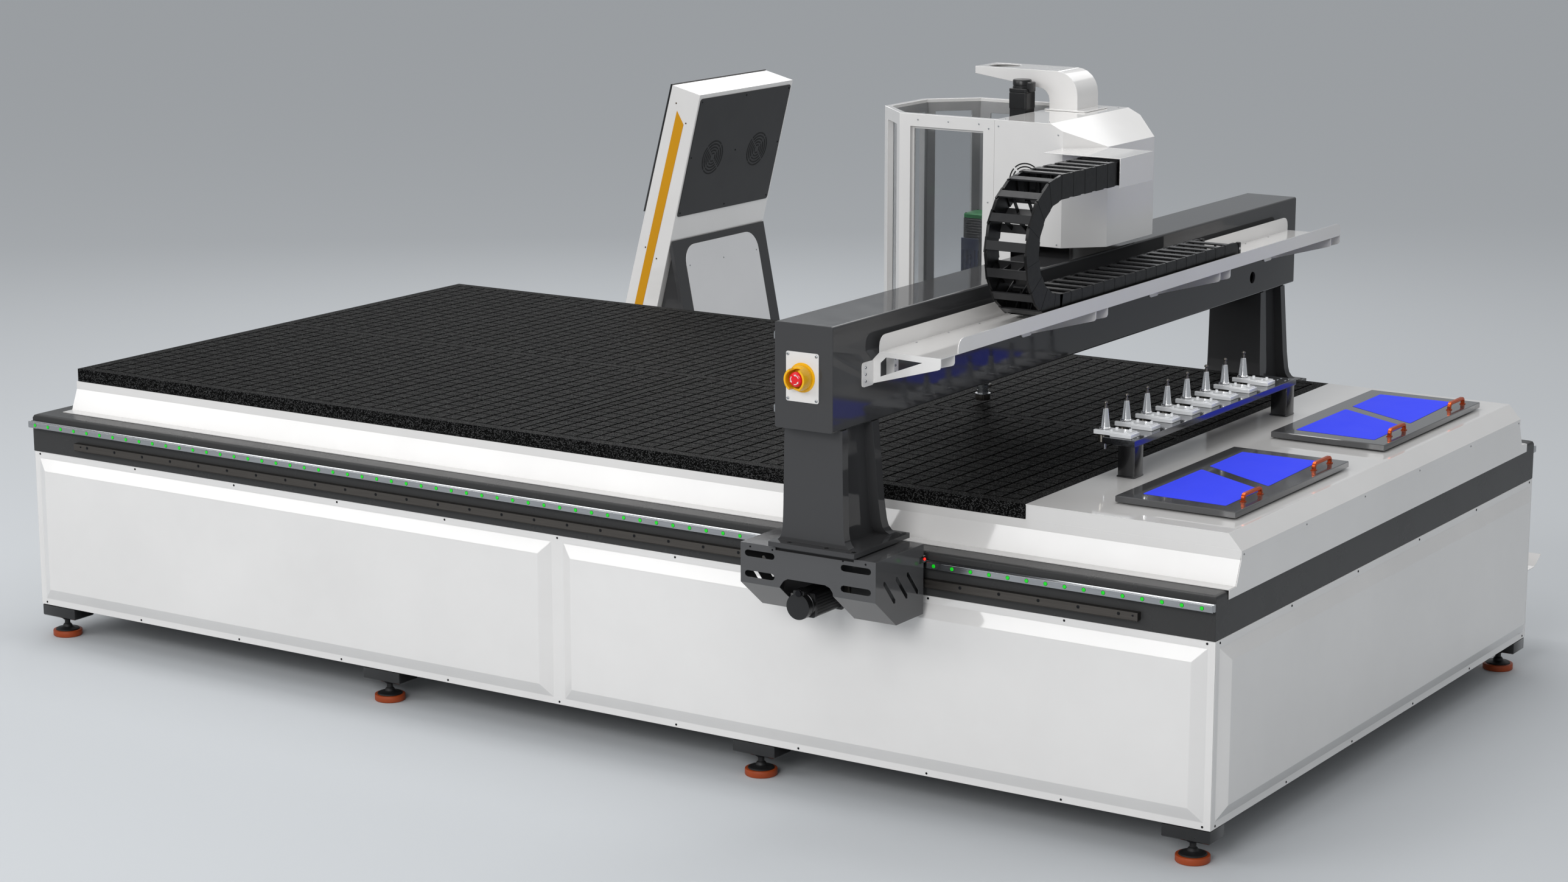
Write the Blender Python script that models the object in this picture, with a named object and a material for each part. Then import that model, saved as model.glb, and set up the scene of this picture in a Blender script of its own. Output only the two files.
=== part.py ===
"""CNC router with a moving gantry, built in metres, +Z up, floor at z = 0.

Machine coordinates run from the left front corner of the base: x along the long travel,
y from the operator side to the back. One empty moves the whole machine so that its bounding
box is centred on the origin in x and y.
"""

import math

import bmesh
import bpy
import numpy as np
from mathutils import Matrix, Vector

# ---- driving dimensions (metres) ----
LENGTH = 4.450
WIDTH = 2.3806
PANEL_BOTTOM = 0.1095
PANEL_TOP = 0.6490
BED_TOP = 0.7770
MAT_BOTTOM = 0.8752
MAT_TOP = 0.9188
MAT_X = (0.0795, 3.7762)
MAT_Y = (0.1452, 2.2354)
DECK_X = (3.7767, 4.4093)
DECK_EDGE_Z = 0.8730
SHEET = 0.0025
GAP = 0.0005
FOOT_X = (0.0753, 1.5094, 2.9432, 4.3747)
FOOT_Y = (0.0466, WIDTH - 0.0466)
FOOT_RADIUS = 0.0495
RAIL_Z = 0.7450
RAIL_HALF = 0.0115
RAIL_HEIGHT = 0.0220
RACK_X = (0.2103, 4.2209)
RACK_Z = (0.6766, 0.7020)
PINION_RADIUS = 0.0295
PINION_Z = RACK_Z[0] - PINION_RADIUS - 0.0005
MOTOR_X = 3.2945
BEAM_X = (3.2350, 3.4255)
BEAM_Y = (-0.3250, WIDTH + 0.3250)
BEAM_Z = (1.1642, 1.4641)
LEG_Y0 = -0.2750
LEG_SHIFT = 2.7120
HEAD_Y = 1.3180
HEAD_HALF = 0.2600
HEAD_X = (2.6640, 3.4890)
HEAD_TOP = 1.8800
HEAD_CHAMFER = 0.1390
COVER_X = 3.1455
COVER_BOTTOM = 1.4970
GUARD_BOTTOM = 1.1700
SPINDLE_X = 2.9690
TRAY_X = (3.4480, 3.6480)
TRAY_Y = (-0.1170, 2.5850)
TRAY_Z = 1.3660
CHAIN_X = (3.4930, 3.6350)
CHAIN_HEIGHT = 0.0740
CHAIN_Z = 1.3690
CHAIN_RADIUS = 0.2140
CHAIN_LOOP_Y = 0.5990
CHAIN_FIXED_Y = 1.7800
CHAIN_END_Y = 1.1000
CHAIN_PITCH = 0.0695
RACKBAR_X = (3.7840, 3.8907)
RACKBAR_Y = (0.5914, 1.7150)
RACKBAR_Z = (1.0140, 1.0330)
HOLDER_X = 3.7707
HOLDER_Y0 = 0.6354
HOLDER_PITCH = 0.1341
HOLDERS = 8
LID_X = (3.9850, 4.3600)
LID_Y = ((0.2900, 1.0660), (1.3290, 2.1050))
LID_Z = (0.9230, 0.9423)
HANDLE_AT = (0.2320, 0.8500)
CONSOLE_Y = (3.0000, 3.6800)


COLOURS = {
    "white_paint": (0.80, 0.80, 0.80),
    "grey_paint": (0.065, 0.065, 0.067),
    "band_paint": (0.040, 0.040, 0.042),
    "black_plastic": (0.012, 0.012, 0.012),
    "mat": (0.020, 0.020, 0.020),
    "steel": (0.62, 0.62, 0.62),
    "aluminium": (0.80, 0.80, 0.80),
    "dark_steel": (0.10, 0.085, 0.07),
    "foot_rubber": (0.25, 0.045, 0.008),
    "lid_blue": (0.075, 0.090, 1.0),
    "red": (0.80, 0.010, 0.020),
    "yellow": (0.83, 0.46, 0.010),
    "glass": (0.75, 0.80, 0.82),
    "blue_body": (0.02, 0.05, 0.20),
    "screen": (0.03, 0.03, 0.035),
}


# ---- general helpers ----
def clear_scene():
    for obj in list(bpy.data.objects):
        bpy.data.objects.remove(obj, do_unlink=True)


def material(name):
    if name in bpy.data.materials:
        return bpy.data.materials[name]
    made = bpy.data.materials.new(name)
    made.use_nodes = True
    shader = made.node_tree.nodes["Principled BSDF"]
    shader.inputs["Base Color"].default_value = (*COLOURS[name.split(".")[0]], 1.0)
    shader.inputs["Roughness"].default_value = 0.4
    return made


def mesh_object(name, points, faces):
    mesh = bpy.data.meshes.new(name)
    mesh.from_pydata([tuple(map(float, p)) for p in points], [], faces)
    obj = bpy.data.objects.new(name, mesh)
    bpy.context.scene.collection.objects.link(obj)
    made = bmesh.new()
    made.from_mesh(mesh)
    bmesh.ops.recalc_face_normals(made, faces=made.faces)
    made.to_mesh(mesh)
    made.free()
    return obj


def loft(name, loops, wrap=False):
    """A closed body through loops that have the same number of points; a wrapped loft has no caps."""
    count = len(loops[0])
    points = [p for loop in loops for p in loop]
    faces = []
    last = len(loops) if wrap else len(loops) - 1
    for k in range(last):
        a = k * count
        b = ((k + 1) % len(loops)) * count
        for i in range(count):
            j = (i + 1) % count
            faces.append((a + i, a + j, b + j, b + i))
    if not wrap:
        faces.append(tuple(range(count)))
        faces.append(tuple(range((len(loops) - 1) * count, len(loops) * count)))
    return mesh_object(name, points, faces)


def place(pair, axis, value):
    """The point whose two coordinates across the axis are the pair, in x, y, z order."""
    out = list(pair)
    out.insert("xyz".index(axis), value)
    return tuple(out)


def prism(name, outline, axis, low, high):
    return loft(name, [[place(p, axis, v) for p in outline] for v in (low, high)])


def box(name, x, y, z):
    return prism(name, [(x[0], y[0]), (x[1], y[0]), (x[1], y[1]), (x[0], y[1])], "z", *z)


def rounded(x, y, radius, steps=3):
    """A rectangle outline with rounded corners."""
    out = []
    corners = ((x[1], y[1], 0), (x[0], y[1], 90), (x[0], y[0], 180), (x[1], y[0], 270))
    for cx, cy, start in corners:
        ox = cx - math.copysign(radius, cx - (x[0] + x[1]) / 2)
        oy = cy - math.copysign(radius, cy - (y[0] + y[1]) / 2)
        for k in range(steps + 1):
            a = math.radians(start + 90 * k / steps)
            out.append((ox + radius * math.cos(a), oy + radius * math.sin(a)))
    return out


def circle(cx, cy, radius, steps=16):
    turn = 2 * math.pi / steps
    angles = [turn * (k + 0.5) for k in range(steps)]
    return [(cx + radius * math.cos(a), cy + radius * math.sin(a)) for a in angles]


def lathe(name, profile, centre, steps=16, axis="z"):
    """Profile points are (radius, height) along the axis, from one end to the other."""
    cross = [c for a, c in zip("xyz", centre) if a != axis]
    base = centre["xyz".index(axis)]
    loops = [[place(p, axis, base + h) for p in circle(*cross, r, steps)] for r, h in profile]
    return loft(name, loops)


def capsule(x, y, radius, steps=4):
    """A slot outline along the first coordinate."""
    out = []
    for k in range(steps + 1):
        a = -math.pi / 2 + math.pi * k / steps
        out.append((x[1] - radius + radius * math.cos(a), y + radius * math.sin(a)))
    for k in range(steps + 1):
        a = math.pi / 2 + math.pi * k / steps
        out.append((x[0] + radius + radius * math.cos(a), y + radius * math.sin(a)))
    return out


def apply_boolean(obj, other, operation):
    step = obj.modifiers.new("step", "BOOLEAN")
    step.operation = operation
    step.solver = "EXACT"
    step.object = other
    bpy.context.view_layer.update()
    graph = bpy.context.evaluated_depsgraph_get()
    result = bpy.data.meshes.new_from_object(obj.evaluated_get(graph))
    obj.modifiers.clear()
    old = obj.data
    obj.data = result
    bpy.data.meshes.remove(old)
    bpy.data.objects.remove(other, do_unlink=True)
    return obj


def unite(first, *others):
    for other in others:
        apply_boolean(first, other, "UNION")
    return first


def cut(first, *others):
    for other in others:
        apply_boolean(first, other, "DIFFERENCE")
    return first


def tidy(obj):
    """Joins points a hair apart and drops flat leftovers of the Booleans."""
    made = bmesh.new()
    made.from_mesh(obj.data)
    bmesh.ops.remove_doubles(made, verts=made.verts, dist=0.00002)
    bmesh.ops.dissolve_limit(made, angle_limit=0.001, verts=made.verts, edges=made.edges)
    bmesh.ops.triangulate(made, faces=made.faces, quad_method="BEAUTY", ngon_method="BEAUTY")
    bmesh.ops.recalc_face_normals(made, faces=made.faces)
    made.to_mesh(obj.data)
    made.free()
    return obj


PARTS = []


def finish(obj, name, paint, pivot=None):
    """Names the part, gives it its material, and puts its origin on its joint axis."""
    obj.name = name
    obj.data.name = name
    tidy(obj)
    if pivot is not None:
        obj.data.transform(Matrix.Translation(-Vector(pivot)))
        obj.location = pivot
    obj.data.materials.clear()
    obj.data.materials.append(material(paint + "." + name))
    PARTS.append(obj)
    return obj


def sheet_path(name, path, thickness, axis, low, high):
    """A bent sheet: the path's own side is the outer face, the other lies to its left."""
    path = [np.array(p, float) for p in path]
    normals = []
    for a, b in zip(path, path[1:]):
        d = (b - a) / np.linalg.norm(b - a)
        normals.append(np.array([-d[1], d[0]]))
    inner = []
    for k, p in enumerate(path):
        if k == 0:
            n = normals[0]
            inner.append(p + n * thickness)
        elif k == len(path) - 1:
            inner.append(p + normals[-1] * thickness)
        else:
            n = normals[k - 1] + normals[k]
            n = n / (n @ normals[k])
            inner.append(p + n * thickness)
    outline = [tuple(p) for p in path] + [tuple(p) for p in reversed(inner)]
    return prism(name, outline, axis, low, high)


# ---- base ----
def base_frame():
    low = prism(
        "b", rounded((0.006, LENGTH - 0.006), (0.006, WIDTH - 0.006), 0.004, 1), "z", 0.1100,
        0.6480,
    )
    inside = box("i", (0.016, LENGTH - 0.016), (0.016, WIDTH - 0.016), (0.05, 0.6380))
    cut(low, inside)
    neck = box("n", (0.080, LENGTH - 0.14), (0.15, WIDTH - 0.15), (0.6380, 0.8748))
    cut(neck, box("j", (0.090, LENGTH - 0.15), (0.16, WIDTH - 0.16), (0.62, 0.8600)))
    hole = box("h", (0.090, LENGTH - 0.15), (0.16, WIDTH - 0.16), (0.60, 0.70))
    cut(low, hole)
    unite(low, neck)
    # the deck end stands lower than the mat, so the neck ends under the mat there
    finish(low, "base_frame", "white_paint")


def raised_panel(name, axis, face, out, span, z, flange=0.022, bevel=0.040, proud=0.020):
    """A pan pressed out of sheet: a flat flange round it, a bevel, and a raised field."""
    def rect(inset, depth):
        a = (span[0] + inset, span[1] - inset)
        b = (z[0] + inset, z[1] - inset)
        corners = ((a[0], b[0]), (a[1], b[0]), (a[1], b[1]), (a[0], b[1]))
        return [place(c, axis, face + out * depth) for c in corners]

    t = SHEET
    loops = [
        rect(flange + bevel, proud),
        rect(flange, 0.0),
        rect(0.0, 0.0),
        rect(0.0, -t),
        rect(flange, -t),
        rect(flange + bevel, proud - t),
    ]
    return loft(name, loops)


def panels():
    z = (PANEL_BOTTOM, PANEL_TOP)
    seam = 2.2250
    for side, face, out in (("front", 0.0025, -1), ("back", WIDTH - 0.0025, 1)):
        left = raised_panel("l", "y", face, out, (0.003, seam), z)
        right = raised_panel("r", "y", face, out, (seam, LENGTH - 0.003), z)
        panel = unite(left, right)
        if side == "back":
            path = ((face - 0.001, 0.3000), (face + 0.1900, 0.3000), (face + 0.2500, 0.3320))
            shelf = sheet_path("s", path, SHEET, "x", 0.60, 4.40)
            unite(panel, shelf)
        finish(panel, "panel_" + side, "white_paint")
    for side, face, out in (("left", 0.0025, -1), ("right", LENGTH - 0.0025, 1)):
        panel = raised_panel("p", "x", face, out, (0.006, WIDTH - 0.006), z, proud=0.0200)
        finish(panel, "panel_" + side, "white_paint")


def rail_bed():
    """The dark steel band round the base: an outer wall with a rounded top edge and a top flange."""
    profile = [
        (0.0, 0.6496), (0.0, 0.7650), (0.0035, 0.7735), (0.012, BED_TOP), (0.120, BED_TOP),
        (0.120, 0.7570), (0.020, 0.7570), (0.020, 0.6496),
    ]
    loops = []
    for inset, z in profile:
        x = (0.002 + inset, LENGTH - 0.0035 - inset)
        y = (inset, WIDTH - inset)
        if inset > 0.1:
            x = (0.078, LENGTH - 0.125)
        loops.append([(x[0], y[0], z), (x[1], y[0], z), (x[1], y[1], z), (x[0], y[1], z)])
    bed = loft("bed", loops, wrap=True)
    finish(bed, "rail_bed", "band_paint")


def rail_outline(out, face, z, half, height):
    """Linear rail section: a waisted bar with chamfered corners, standing out from the face."""
    c = 0.0025
    w = 0.0022
    pts = [
        (0, -half), (0.35, -half), (0.50, -half + w), (0.70, -half + w), (0.85, -half),
        (1.0, -half + c),
    ]
    shape = [(face + out * height * a, z + b) for a, b in pts]
    shape += [(face + out * height * a, z - b) for a, b in reversed(pts)]
    return shape


def rails_and_racks():
    for side, face, out in (("front", -GAP, -1), ("back", WIDTH + GAP, 1)):
        rail = prism(
            "r", rail_outline(out, face, RAIL_Z, RAIL_HALF, RAIL_HEIGHT), "x", 0.003,
            LENGTH - 0.004,
        )
        finish(rail, "rail_" + side, "steel")
        y = sorted((face, face + out * 0.0195))
        rack = box("k", RACK_X, y, RACK_Z)
        finish(rack, "rack_" + side, "dark_steel")


def table_surround():
    """White sheet skirts along both sides and the deck over the right end."""
    bodies = []
    skirt = [(0.0746, 0.7797), (0.1180, 0.7797), (0.1450, 0.8480), (0.1450, 0.8748)]
    ends = (0.0720, LENGTH - 0.0030)
    bodies.append(sheet_path("k", skirt[::-1], 0.0022, "x", *ends))
    far = [(WIDTH - a, b) for a, b in skirt]
    bodies.append(sheet_path("k", far, 0.0022, "x", *ends))
    deck = [
        (LENGTH, DECK_EDGE_Z - 0.0200), (LENGTH, DECK_EDGE_Z), (DECK_X[1], MAT_TOP),
        (DECK_X[0], MAT_TOP),
    ]
    top = sheet_path("t", deck, 0.0025, "y", 0.1450, WIDTH - 0.1450)
    side = [
        (DECK_X[0] + 0.0010, 0.8600), (DECK_X[0] + 0.0010, MAT_TOP - 0.0010),
        (DECK_X[1] - 0.0004, MAT_TOP - 0.0010), (LENGTH - 0.0015, DECK_EDGE_Z - 0.0005),
        (LENGTH - 0.0015, 0.8600),
    ]
    for base, sign in ((0.0, 1), (WIDTH, -1)):
        y = sorted((base + sign * 0.1453, base + sign * 0.1478))
        bodies.append(prism("s", side, "y", *y))
    outline = [
        (0.0740, 0.7527), (0.0740, 0.7790), (0.1180, 0.7790), (0.1455, 0.8480),
        (0.1455, DECK_EDGE_Z - 0.0010),
    ]
    outline += [(WIDTH - a, b) for a, b in reversed(outline)]
    end = prism("e", outline, "x", LENGTH - 0.0022, LENGTH - 0.0003)
    body = unite(top, end, *bodies)
    finish(body, "table_surround", "white_paint")


def mat():
    body = prism("m", rounded(MAT_X, MAT_Y, 0.004, 2), "z", MAT_BOTTOM + 0.0003, MAT_TOP)
    finish(body, "mat", "mat")


def feet():
    number = 0
    for y in FOOT_Y:
        for x in FOOT_X:
            number += 1
            profile = [
                (0.0440, 0.0), (FOOT_RADIUS, 0.006), (FOOT_RADIUS, 0.0200), (0.0400, 0.0260),
                (0.0240, 0.0290), (0.0120, 0.0440), (0.0120, 0.0720),
            ]
            foot = lathe("f", profile, (x, y, 0.0), 20)
            x0 = min(max(x - 0.075, 0.004), LENGTH - 0.154)
            y0 = 0.004 if y < 1 else WIDTH - 0.096
            block = box("g", (x0, x0 + 0.150), (y0, y0 + 0.092), (0.0690, 0.1092))
            finish(unite(block, foot), "foot_%d" % number, "foot_rubber")


# ---- deck fittings ----
def tool_rack():
    bar = box("b", RACKBAR_X, RACKBAR_Y, RACKBAR_Z)
    for y in (0.5975, 1.6525):
        post = box("p", (3.8340, 3.8890), (y, y + 0.055), (MAT_TOP + GAP, 1.0200))
        foot = box("q", (3.8310, 3.8900), (y - 0.003, y + 0.058), (MAT_TOP + GAP, 0.9240))
        unite(bar, post, foot)
    for k in range(HOLDERS):
        y = HOLDER_Y0 + k * HOLDER_PITCH
        cut(bar, prism("n", circle(HOLDER_X, y, 0.0255, 16), "z", 1.00, 1.04))
        block = box("k", (3.8000, 3.8700), (y - 0.028, y + 0.028), (RACKBAR_Z[1] - 0.002, 1.0420))
        plate = box("l", (3.7440, 3.8650), (y - 0.026, y + 0.026), (1.0410, 1.0490))
        slot = prism("s", circle(HOLDER_X, y, 0.0150, 16), "z", 1.03, 1.06)
        mouth = box("t", (3.7300, HOLDER_X), (y - 0.0130, y + 0.0130), (1.03, 1.06))
        cut(plate, slot, mouth)
        unite(block, plate)
        for dx, dy in ((0.040, -0.018), (0.040, 0.018), (0.085, -0.018), (0.085, 0.018)):
            bolt = lathe("o", [(0.0045, 0.0), (0.0045, 0.0055)], (3.7600 + dx, y + dy, 1.0480), 8)
            unite(block, bolt)
        unite(bar, block)
    finish(bar, "tool_rack", "aluminium")


def tool_holders():
    for k in range(HOLDERS):
        y = HOLDER_Y0 + k * HOLDER_PITCH
        profile = [
            (0.0050, -0.0620),
            (0.0050, -0.0400),
            (0.0190, -0.0395),
            (0.0220, -0.0360),
            (0.0220, -0.0150),
            (0.0125, -0.0140),
            (0.0125, 0.0005),
            (0.0165, 0.0010),
            (0.0165, 0.0050),
            (0.0138, 0.0060),
            (0.0078, 0.0610),
            (0.0045, 0.0625),
            (0.0045, 0.0740),
            (0.0060, 0.0760),
            (0.0060, 0.0800),
            (0.0035, 0.0830),
        ]
        body = lathe("h", profile, (HOLDER_X, y, 1.0495), 16)
        finish(body, "tool_holder_%d" % (k + 1), "steel")


def lids():
    for name, y in zip(("lid_front", "lid_rear"), LID_Y):
        z = LID_Z
        body = box("l", LID_X, y, z)
        for t in (0.18, 0.82):
            mid = y[0] + (y[1] - y[0]) * t
            pin = lathe(
                "p", [(0.0050, -0.0250), (0.0050, 0.0250)], (LID_X[0] - 0.0030, mid, z[0] + 0.008),
                10, "y",
            )
            unite(body, pin)
        for t in HANDLE_AT:
            mid = y[0] + (y[1] - y[0]) * t
            grip = prism(
                "g", rounded((mid - 0.070, mid + 0.070), (z[1] - 0.010, z[1] + 0.032), 0.010, 3),
                "x", 4.3180, 4.3300,
            )
            hole = prism(
                "h", rounded((mid - 0.056, mid + 0.056), (z[1] - 0.0195, z[1] + 0.020), 0.006, 2),
                "x", 4.30, 4.35,
            )
            cut(grip, hole)
            unite(body, grip)
        finish(body, name, "lid_blue", (LID_X[0] - 0.0030, (y[0] + y[1]) / 2, z[0] + 0.008))


# ---- gantry ----
def leg(name, shift):
    """A welded H column on a base plate, flared where it meets the plate."""
    def section(z, front, back, side):
        y0 = LEG_Y0 + shift - front
        y1 = LEG_Y0 + shift + back
        x0 = BEAM_X[0] - side
        x1 = BEAM_X[1] + side
        f = 0.030
        r = 0.028
        xs = (x0, x0 + r + side, x1 - r - side, x1)
        ys = (y0, y0 + f, y1 - f - 0.004, y1)
        plan = [
            (xs[0], ys[0]), (xs[3], ys[0]), (xs[3], ys[1]), (xs[2], ys[1]), (xs[2], ys[2]),
            (xs[3], ys[2]),
        ]
        plan += [
            (xs[3], ys[3]), (xs[0], ys[3]), (xs[0], ys[2]), (xs[1], ys[2]), (xs[1], ys[1]),
            (xs[0], ys[1]),
        ]
        return [(px, py, z) for px, py in plan]

    steps = [
        (0.8270, 0.0, 0.255, 0.024),
        (0.8360, 0.0, 0.246, 0.015),
        (0.8500, 0.0, 0.238, 0.009),
        (0.8700, 0.0, 0.233, 0.006),
        (0.9250, 0.0, 0.223, 0.004),
        (1.1637, 0.0, 0.194, 0.000),
    ]
    column = loft("c", [section(*s) for s in steps])
    y0 = LEG_Y0 + shift - 0.035
    plate = prism("p", rounded((3.2000, 3.4880), (y0, y0 + 0.305), 0.006, 2), "z", 0.8140, 0.8280)
    mid = -1 if shift == 0 else 1
    edge = 0.0 if shift == 0 else WIDTH
    # top plate and upright of the saddle that carries the bearing blocks
    y = sorted((edge + mid * 0.2800, edge + mid * 0.0500))
    top = box("t", (3.1100, 3.5350), y, (0.7900, 0.8050))
    y = sorted((edge + mid * 0.0800, edge + mid * 0.0500))
    upright = box("u", (3.1100, 3.5350), y, (0.6160, 0.7950))
    riser_y = sorted((edge + mid * 0.2700, edge + mid * 0.0600))
    riser = box("r", (3.2200, 3.4700), riser_y, (0.8040, 0.8160))
    unite(plate, column, riser, top, upright)
    for x in (3.1500, 3.4150):
        z0 = RAIL_Z - 0.0270
        z1 = RAIL_Z + 0.0270
        g = RAIL_HALF + 0.0006
        a = edge + mid * 0.0520
        b = edge + mid * (RAIL_HEIGHT + GAP + 0.0008)
        c = edge + mid * 0.0060
        outline = [
            (a, z0), (c, z0), (c, RAIL_Z - g), (b, RAIL_Z - g), (b, RAIL_Z + g), (c, RAIL_Z + g),
            (c, z1), (a, z1),
        ]
        unite(plate, prism("k", outline, "x", x, x + 0.085))
    shaft = prism(
        "s", circle(MOTOR_X, PINION_Z, 0.0200, 16), "y",
        *sorted((edge + mid * 0.04, edge + mid * 0.09)),
    )
    cut(plate, shaft)
    for sx in (0.045, 0.155, 0.235):
        for sy in (0.018, 0.287):
            hole = prism("o", circle(3.2120 + sx * 1.12, y0 + sy, 0.0060, 8), "z", 0.8240, 0.84)
            cut(plate, hole)
    finish(plate, name, "grey_paint")


def carriage_cover(name, mid, edge):
    """Folded sheet cover round one carriage, with vents and an arch for the motor."""
    def at(d):
        return edge + mid * d

    t = SHEET
    outer = [
        (at(0.0310), 0.8085), (at(0.2915), 0.8085), (at(0.2915), 0.6920), (at(0.1790), 0.6030),
        (at(0.0310), 0.6030),
    ]
    shell = prism("c", outer, "x", 3.0968, 3.5470)
    inner = [
        (at(0.0200), 0.8085 - t), (at(0.2915 - t), 0.8085 - t), (at(0.2915 - t), 0.6932),
        (at(0.1782), 0.6030 + t), (at(0.0200), 0.6030 + t),
    ]
    cut(shell, prism("i", inner, "x", 3.0968 + t, 3.5470 - t))
    arch = [
        (3.2300, 0.55), (3.2300, 0.6960), (3.2420, 0.7130), (3.2560, 0.7207), (3.3800, 0.7207),
        (3.3960, 0.7150),
    ]
    arch += [(3.4060, 0.7020), (3.4080, 0.6900), (3.4080, 0.55)]
    cut(shell, prism("a", arch, "y", *sorted((at(0.0700), at(0.3200)))))
    for x in ((3.1110, 3.2120), (3.4320, 3.5320)):
        for z in (0.7790, 0.7190):
            cut(shell, prism("s", capsule(x, z, 0.0095), "y", *sorted((at(0.2600), at(0.3200)))))
    for d in (0.2444, 0.1783, 0.1180):
        a = Vector((at(d), 0.7389))
        b = Vector((at(d - 0.0560), 0.6738))
        u = (b - a).normalized() * 0.0065
        n = Vector((-u.y, u.x))
        slot = [a + n, a - u, a - n, b - n, b + u, b + n]
        cut(shell, prism("v", [tuple(p) for p in slot], "x", 3.5300, 3.5600))
        cut(shell, prism("v", [tuple(p) for p in slot], "x", 3.0800, 3.1050))
    hole = box("h", (3.2150, 3.4750), sorted((at(0.3000), at(0.0200))), (0.8000, 0.8200))
    cut(shell, hole)
    finish(shell, name, "grey_paint")


def drive_motor(name, mid, edge):
    """Servo motor with its gearbox, axis across the machine."""
    def span(a, b):
        return sorted((edge + mid * a, edge + mid * b))

    x = MOTOR_X
    z = PINION_Z
    h = 0.036
    body = prism("m", rounded((x - h, x + h), (z - h, z + h), 0.008, 2), "y", *span(0.1250, 0.2650))
    cap = prism("c", circle(x, z, 0.0380, 20), "y", *span(0.2600, 0.3000))
    flange = prism(
        "f", rounded((x - 0.042, x + 0.042), (z - 0.042, z + 0.042), 0.006, 1), "y",
        *span(0.0805, 0.1260),
    )
    key = box("k", (x - 0.018, x + 0.018), span(0.2450, 0.2950), (z + 0.030, z + 0.047))
    shaft = prism("s", circle(x, z, 0.0105, 12), "y", *span(0.0350, 0.0900))
    unite(body, cap, flange, key, shaft)
    finish(body, name, "black_plastic")


def pinion(name, mid, edge):
    y = sorted((edge + mid * 0.0030, edge + mid * 0.0215))
    disc = prism("p", circle(MOTOR_X, PINION_Z, PINION_RADIUS, 28), "y", *y)
    hub = prism(
        "h", circle(MOTOR_X, PINION_Z, 0.0160, 14), "y",
        *sorted((edge + mid * 0.0200, edge + mid * 0.0345)),
    )
    unite(disc, hub)
    finish(disc, name, "dark_steel", (MOTOR_X, edge + mid * 0.012, PINION_Z))


def beam():
    body = prism("b", rounded(BEAM_X, BEAM_Z, 0.006, 3), "y", *BEAM_Y)
    hollow = prism(
        "h",
        rounded(
            (BEAM_X[0] + 0.010, BEAM_X[1] - 0.010), (BEAM_Z[0] + 0.010, BEAM_Z[1] - 0.010), 0.006,
            2,
        ),
        "y", BEAM_Y[0] + 0.012, BEAM_Y[1] - 0.012,
    )
    cut(body, hollow)
    port = prism("p", circle(2.3675, 1.2275, 0.0200, 16), "x", BEAM_X[1] - 0.03, BEAM_X[1] + 0.02)
    cut(body, port)
    finish(body, "beam", "grey_paint")


def beam_rails():
    for name, z in (("beam_rail_lower", 1.2100), ("beam_rail_upper", 1.4180)):
        shape = rail_outline(-1, BEAM_X[0] - GAP, z, RAIL_HALF, RAIL_HEIGHT)
        rail = prism("r", shape, "y", BEAM_Y[0] + 0.03, BEAM_Y[1] - 0.03)
        finish(rail, name, "steel")


def emergency_stop():
    y = BEAM_Y[0] - GAP
    plate = prism("p", rounded((3.2745, 3.3815), (1.2443, 1.3848), 0.006, 2), "y", y - 0.0030, y)
    cx, cz = 3.3280, 1.3140
    outer = lathe(
        "o", [(0.0355, 0.0), (0.0355, -0.012), (0.0335, -0.0440)], (cx, y - 0.0025, cz), 24, "y",
    )
    bore = lathe("i", [(0.0275, 0.0045), (0.0275, -0.06)], (cx, y - 0.0075, cz), 24, "y")
    cut(outer, bore)
    for side in (-1, 1):
        z = cz + side * 0.0320
        cut(outer, box("n", (cx - 0.0150, cx + 0.0150), (y - 0.06, y - 0.0260), (z - 0.010, z + 0.010)))
    unite(plate, outer)
    for px, pz in ((3.2810, 1.3770), (3.3740, 1.3770), (3.2810, 1.2520), (3.3740, 1.2520)):
        unite(plate, lathe("b", [(0.0045, 0.001), (0.0045, -0.0030)], (px, y - 0.0025, pz), 8, "y"))
    finish(plate, "estop_guard", "yellow")
    head = [(0.0120, -0.0095), (0.0120, -0.0220), (0.0205, -0.0240), (0.0215, -0.0300)]
    head += [(0.0195, -0.0360), (0.0100, -0.0385)]
    button = lathe("h", head, (cx, y - 0.0050 + 0.0010, cz), 24, "y")
    finish(button, "estop_button", "red", (cx, y - 0.0200, cz))


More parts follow.
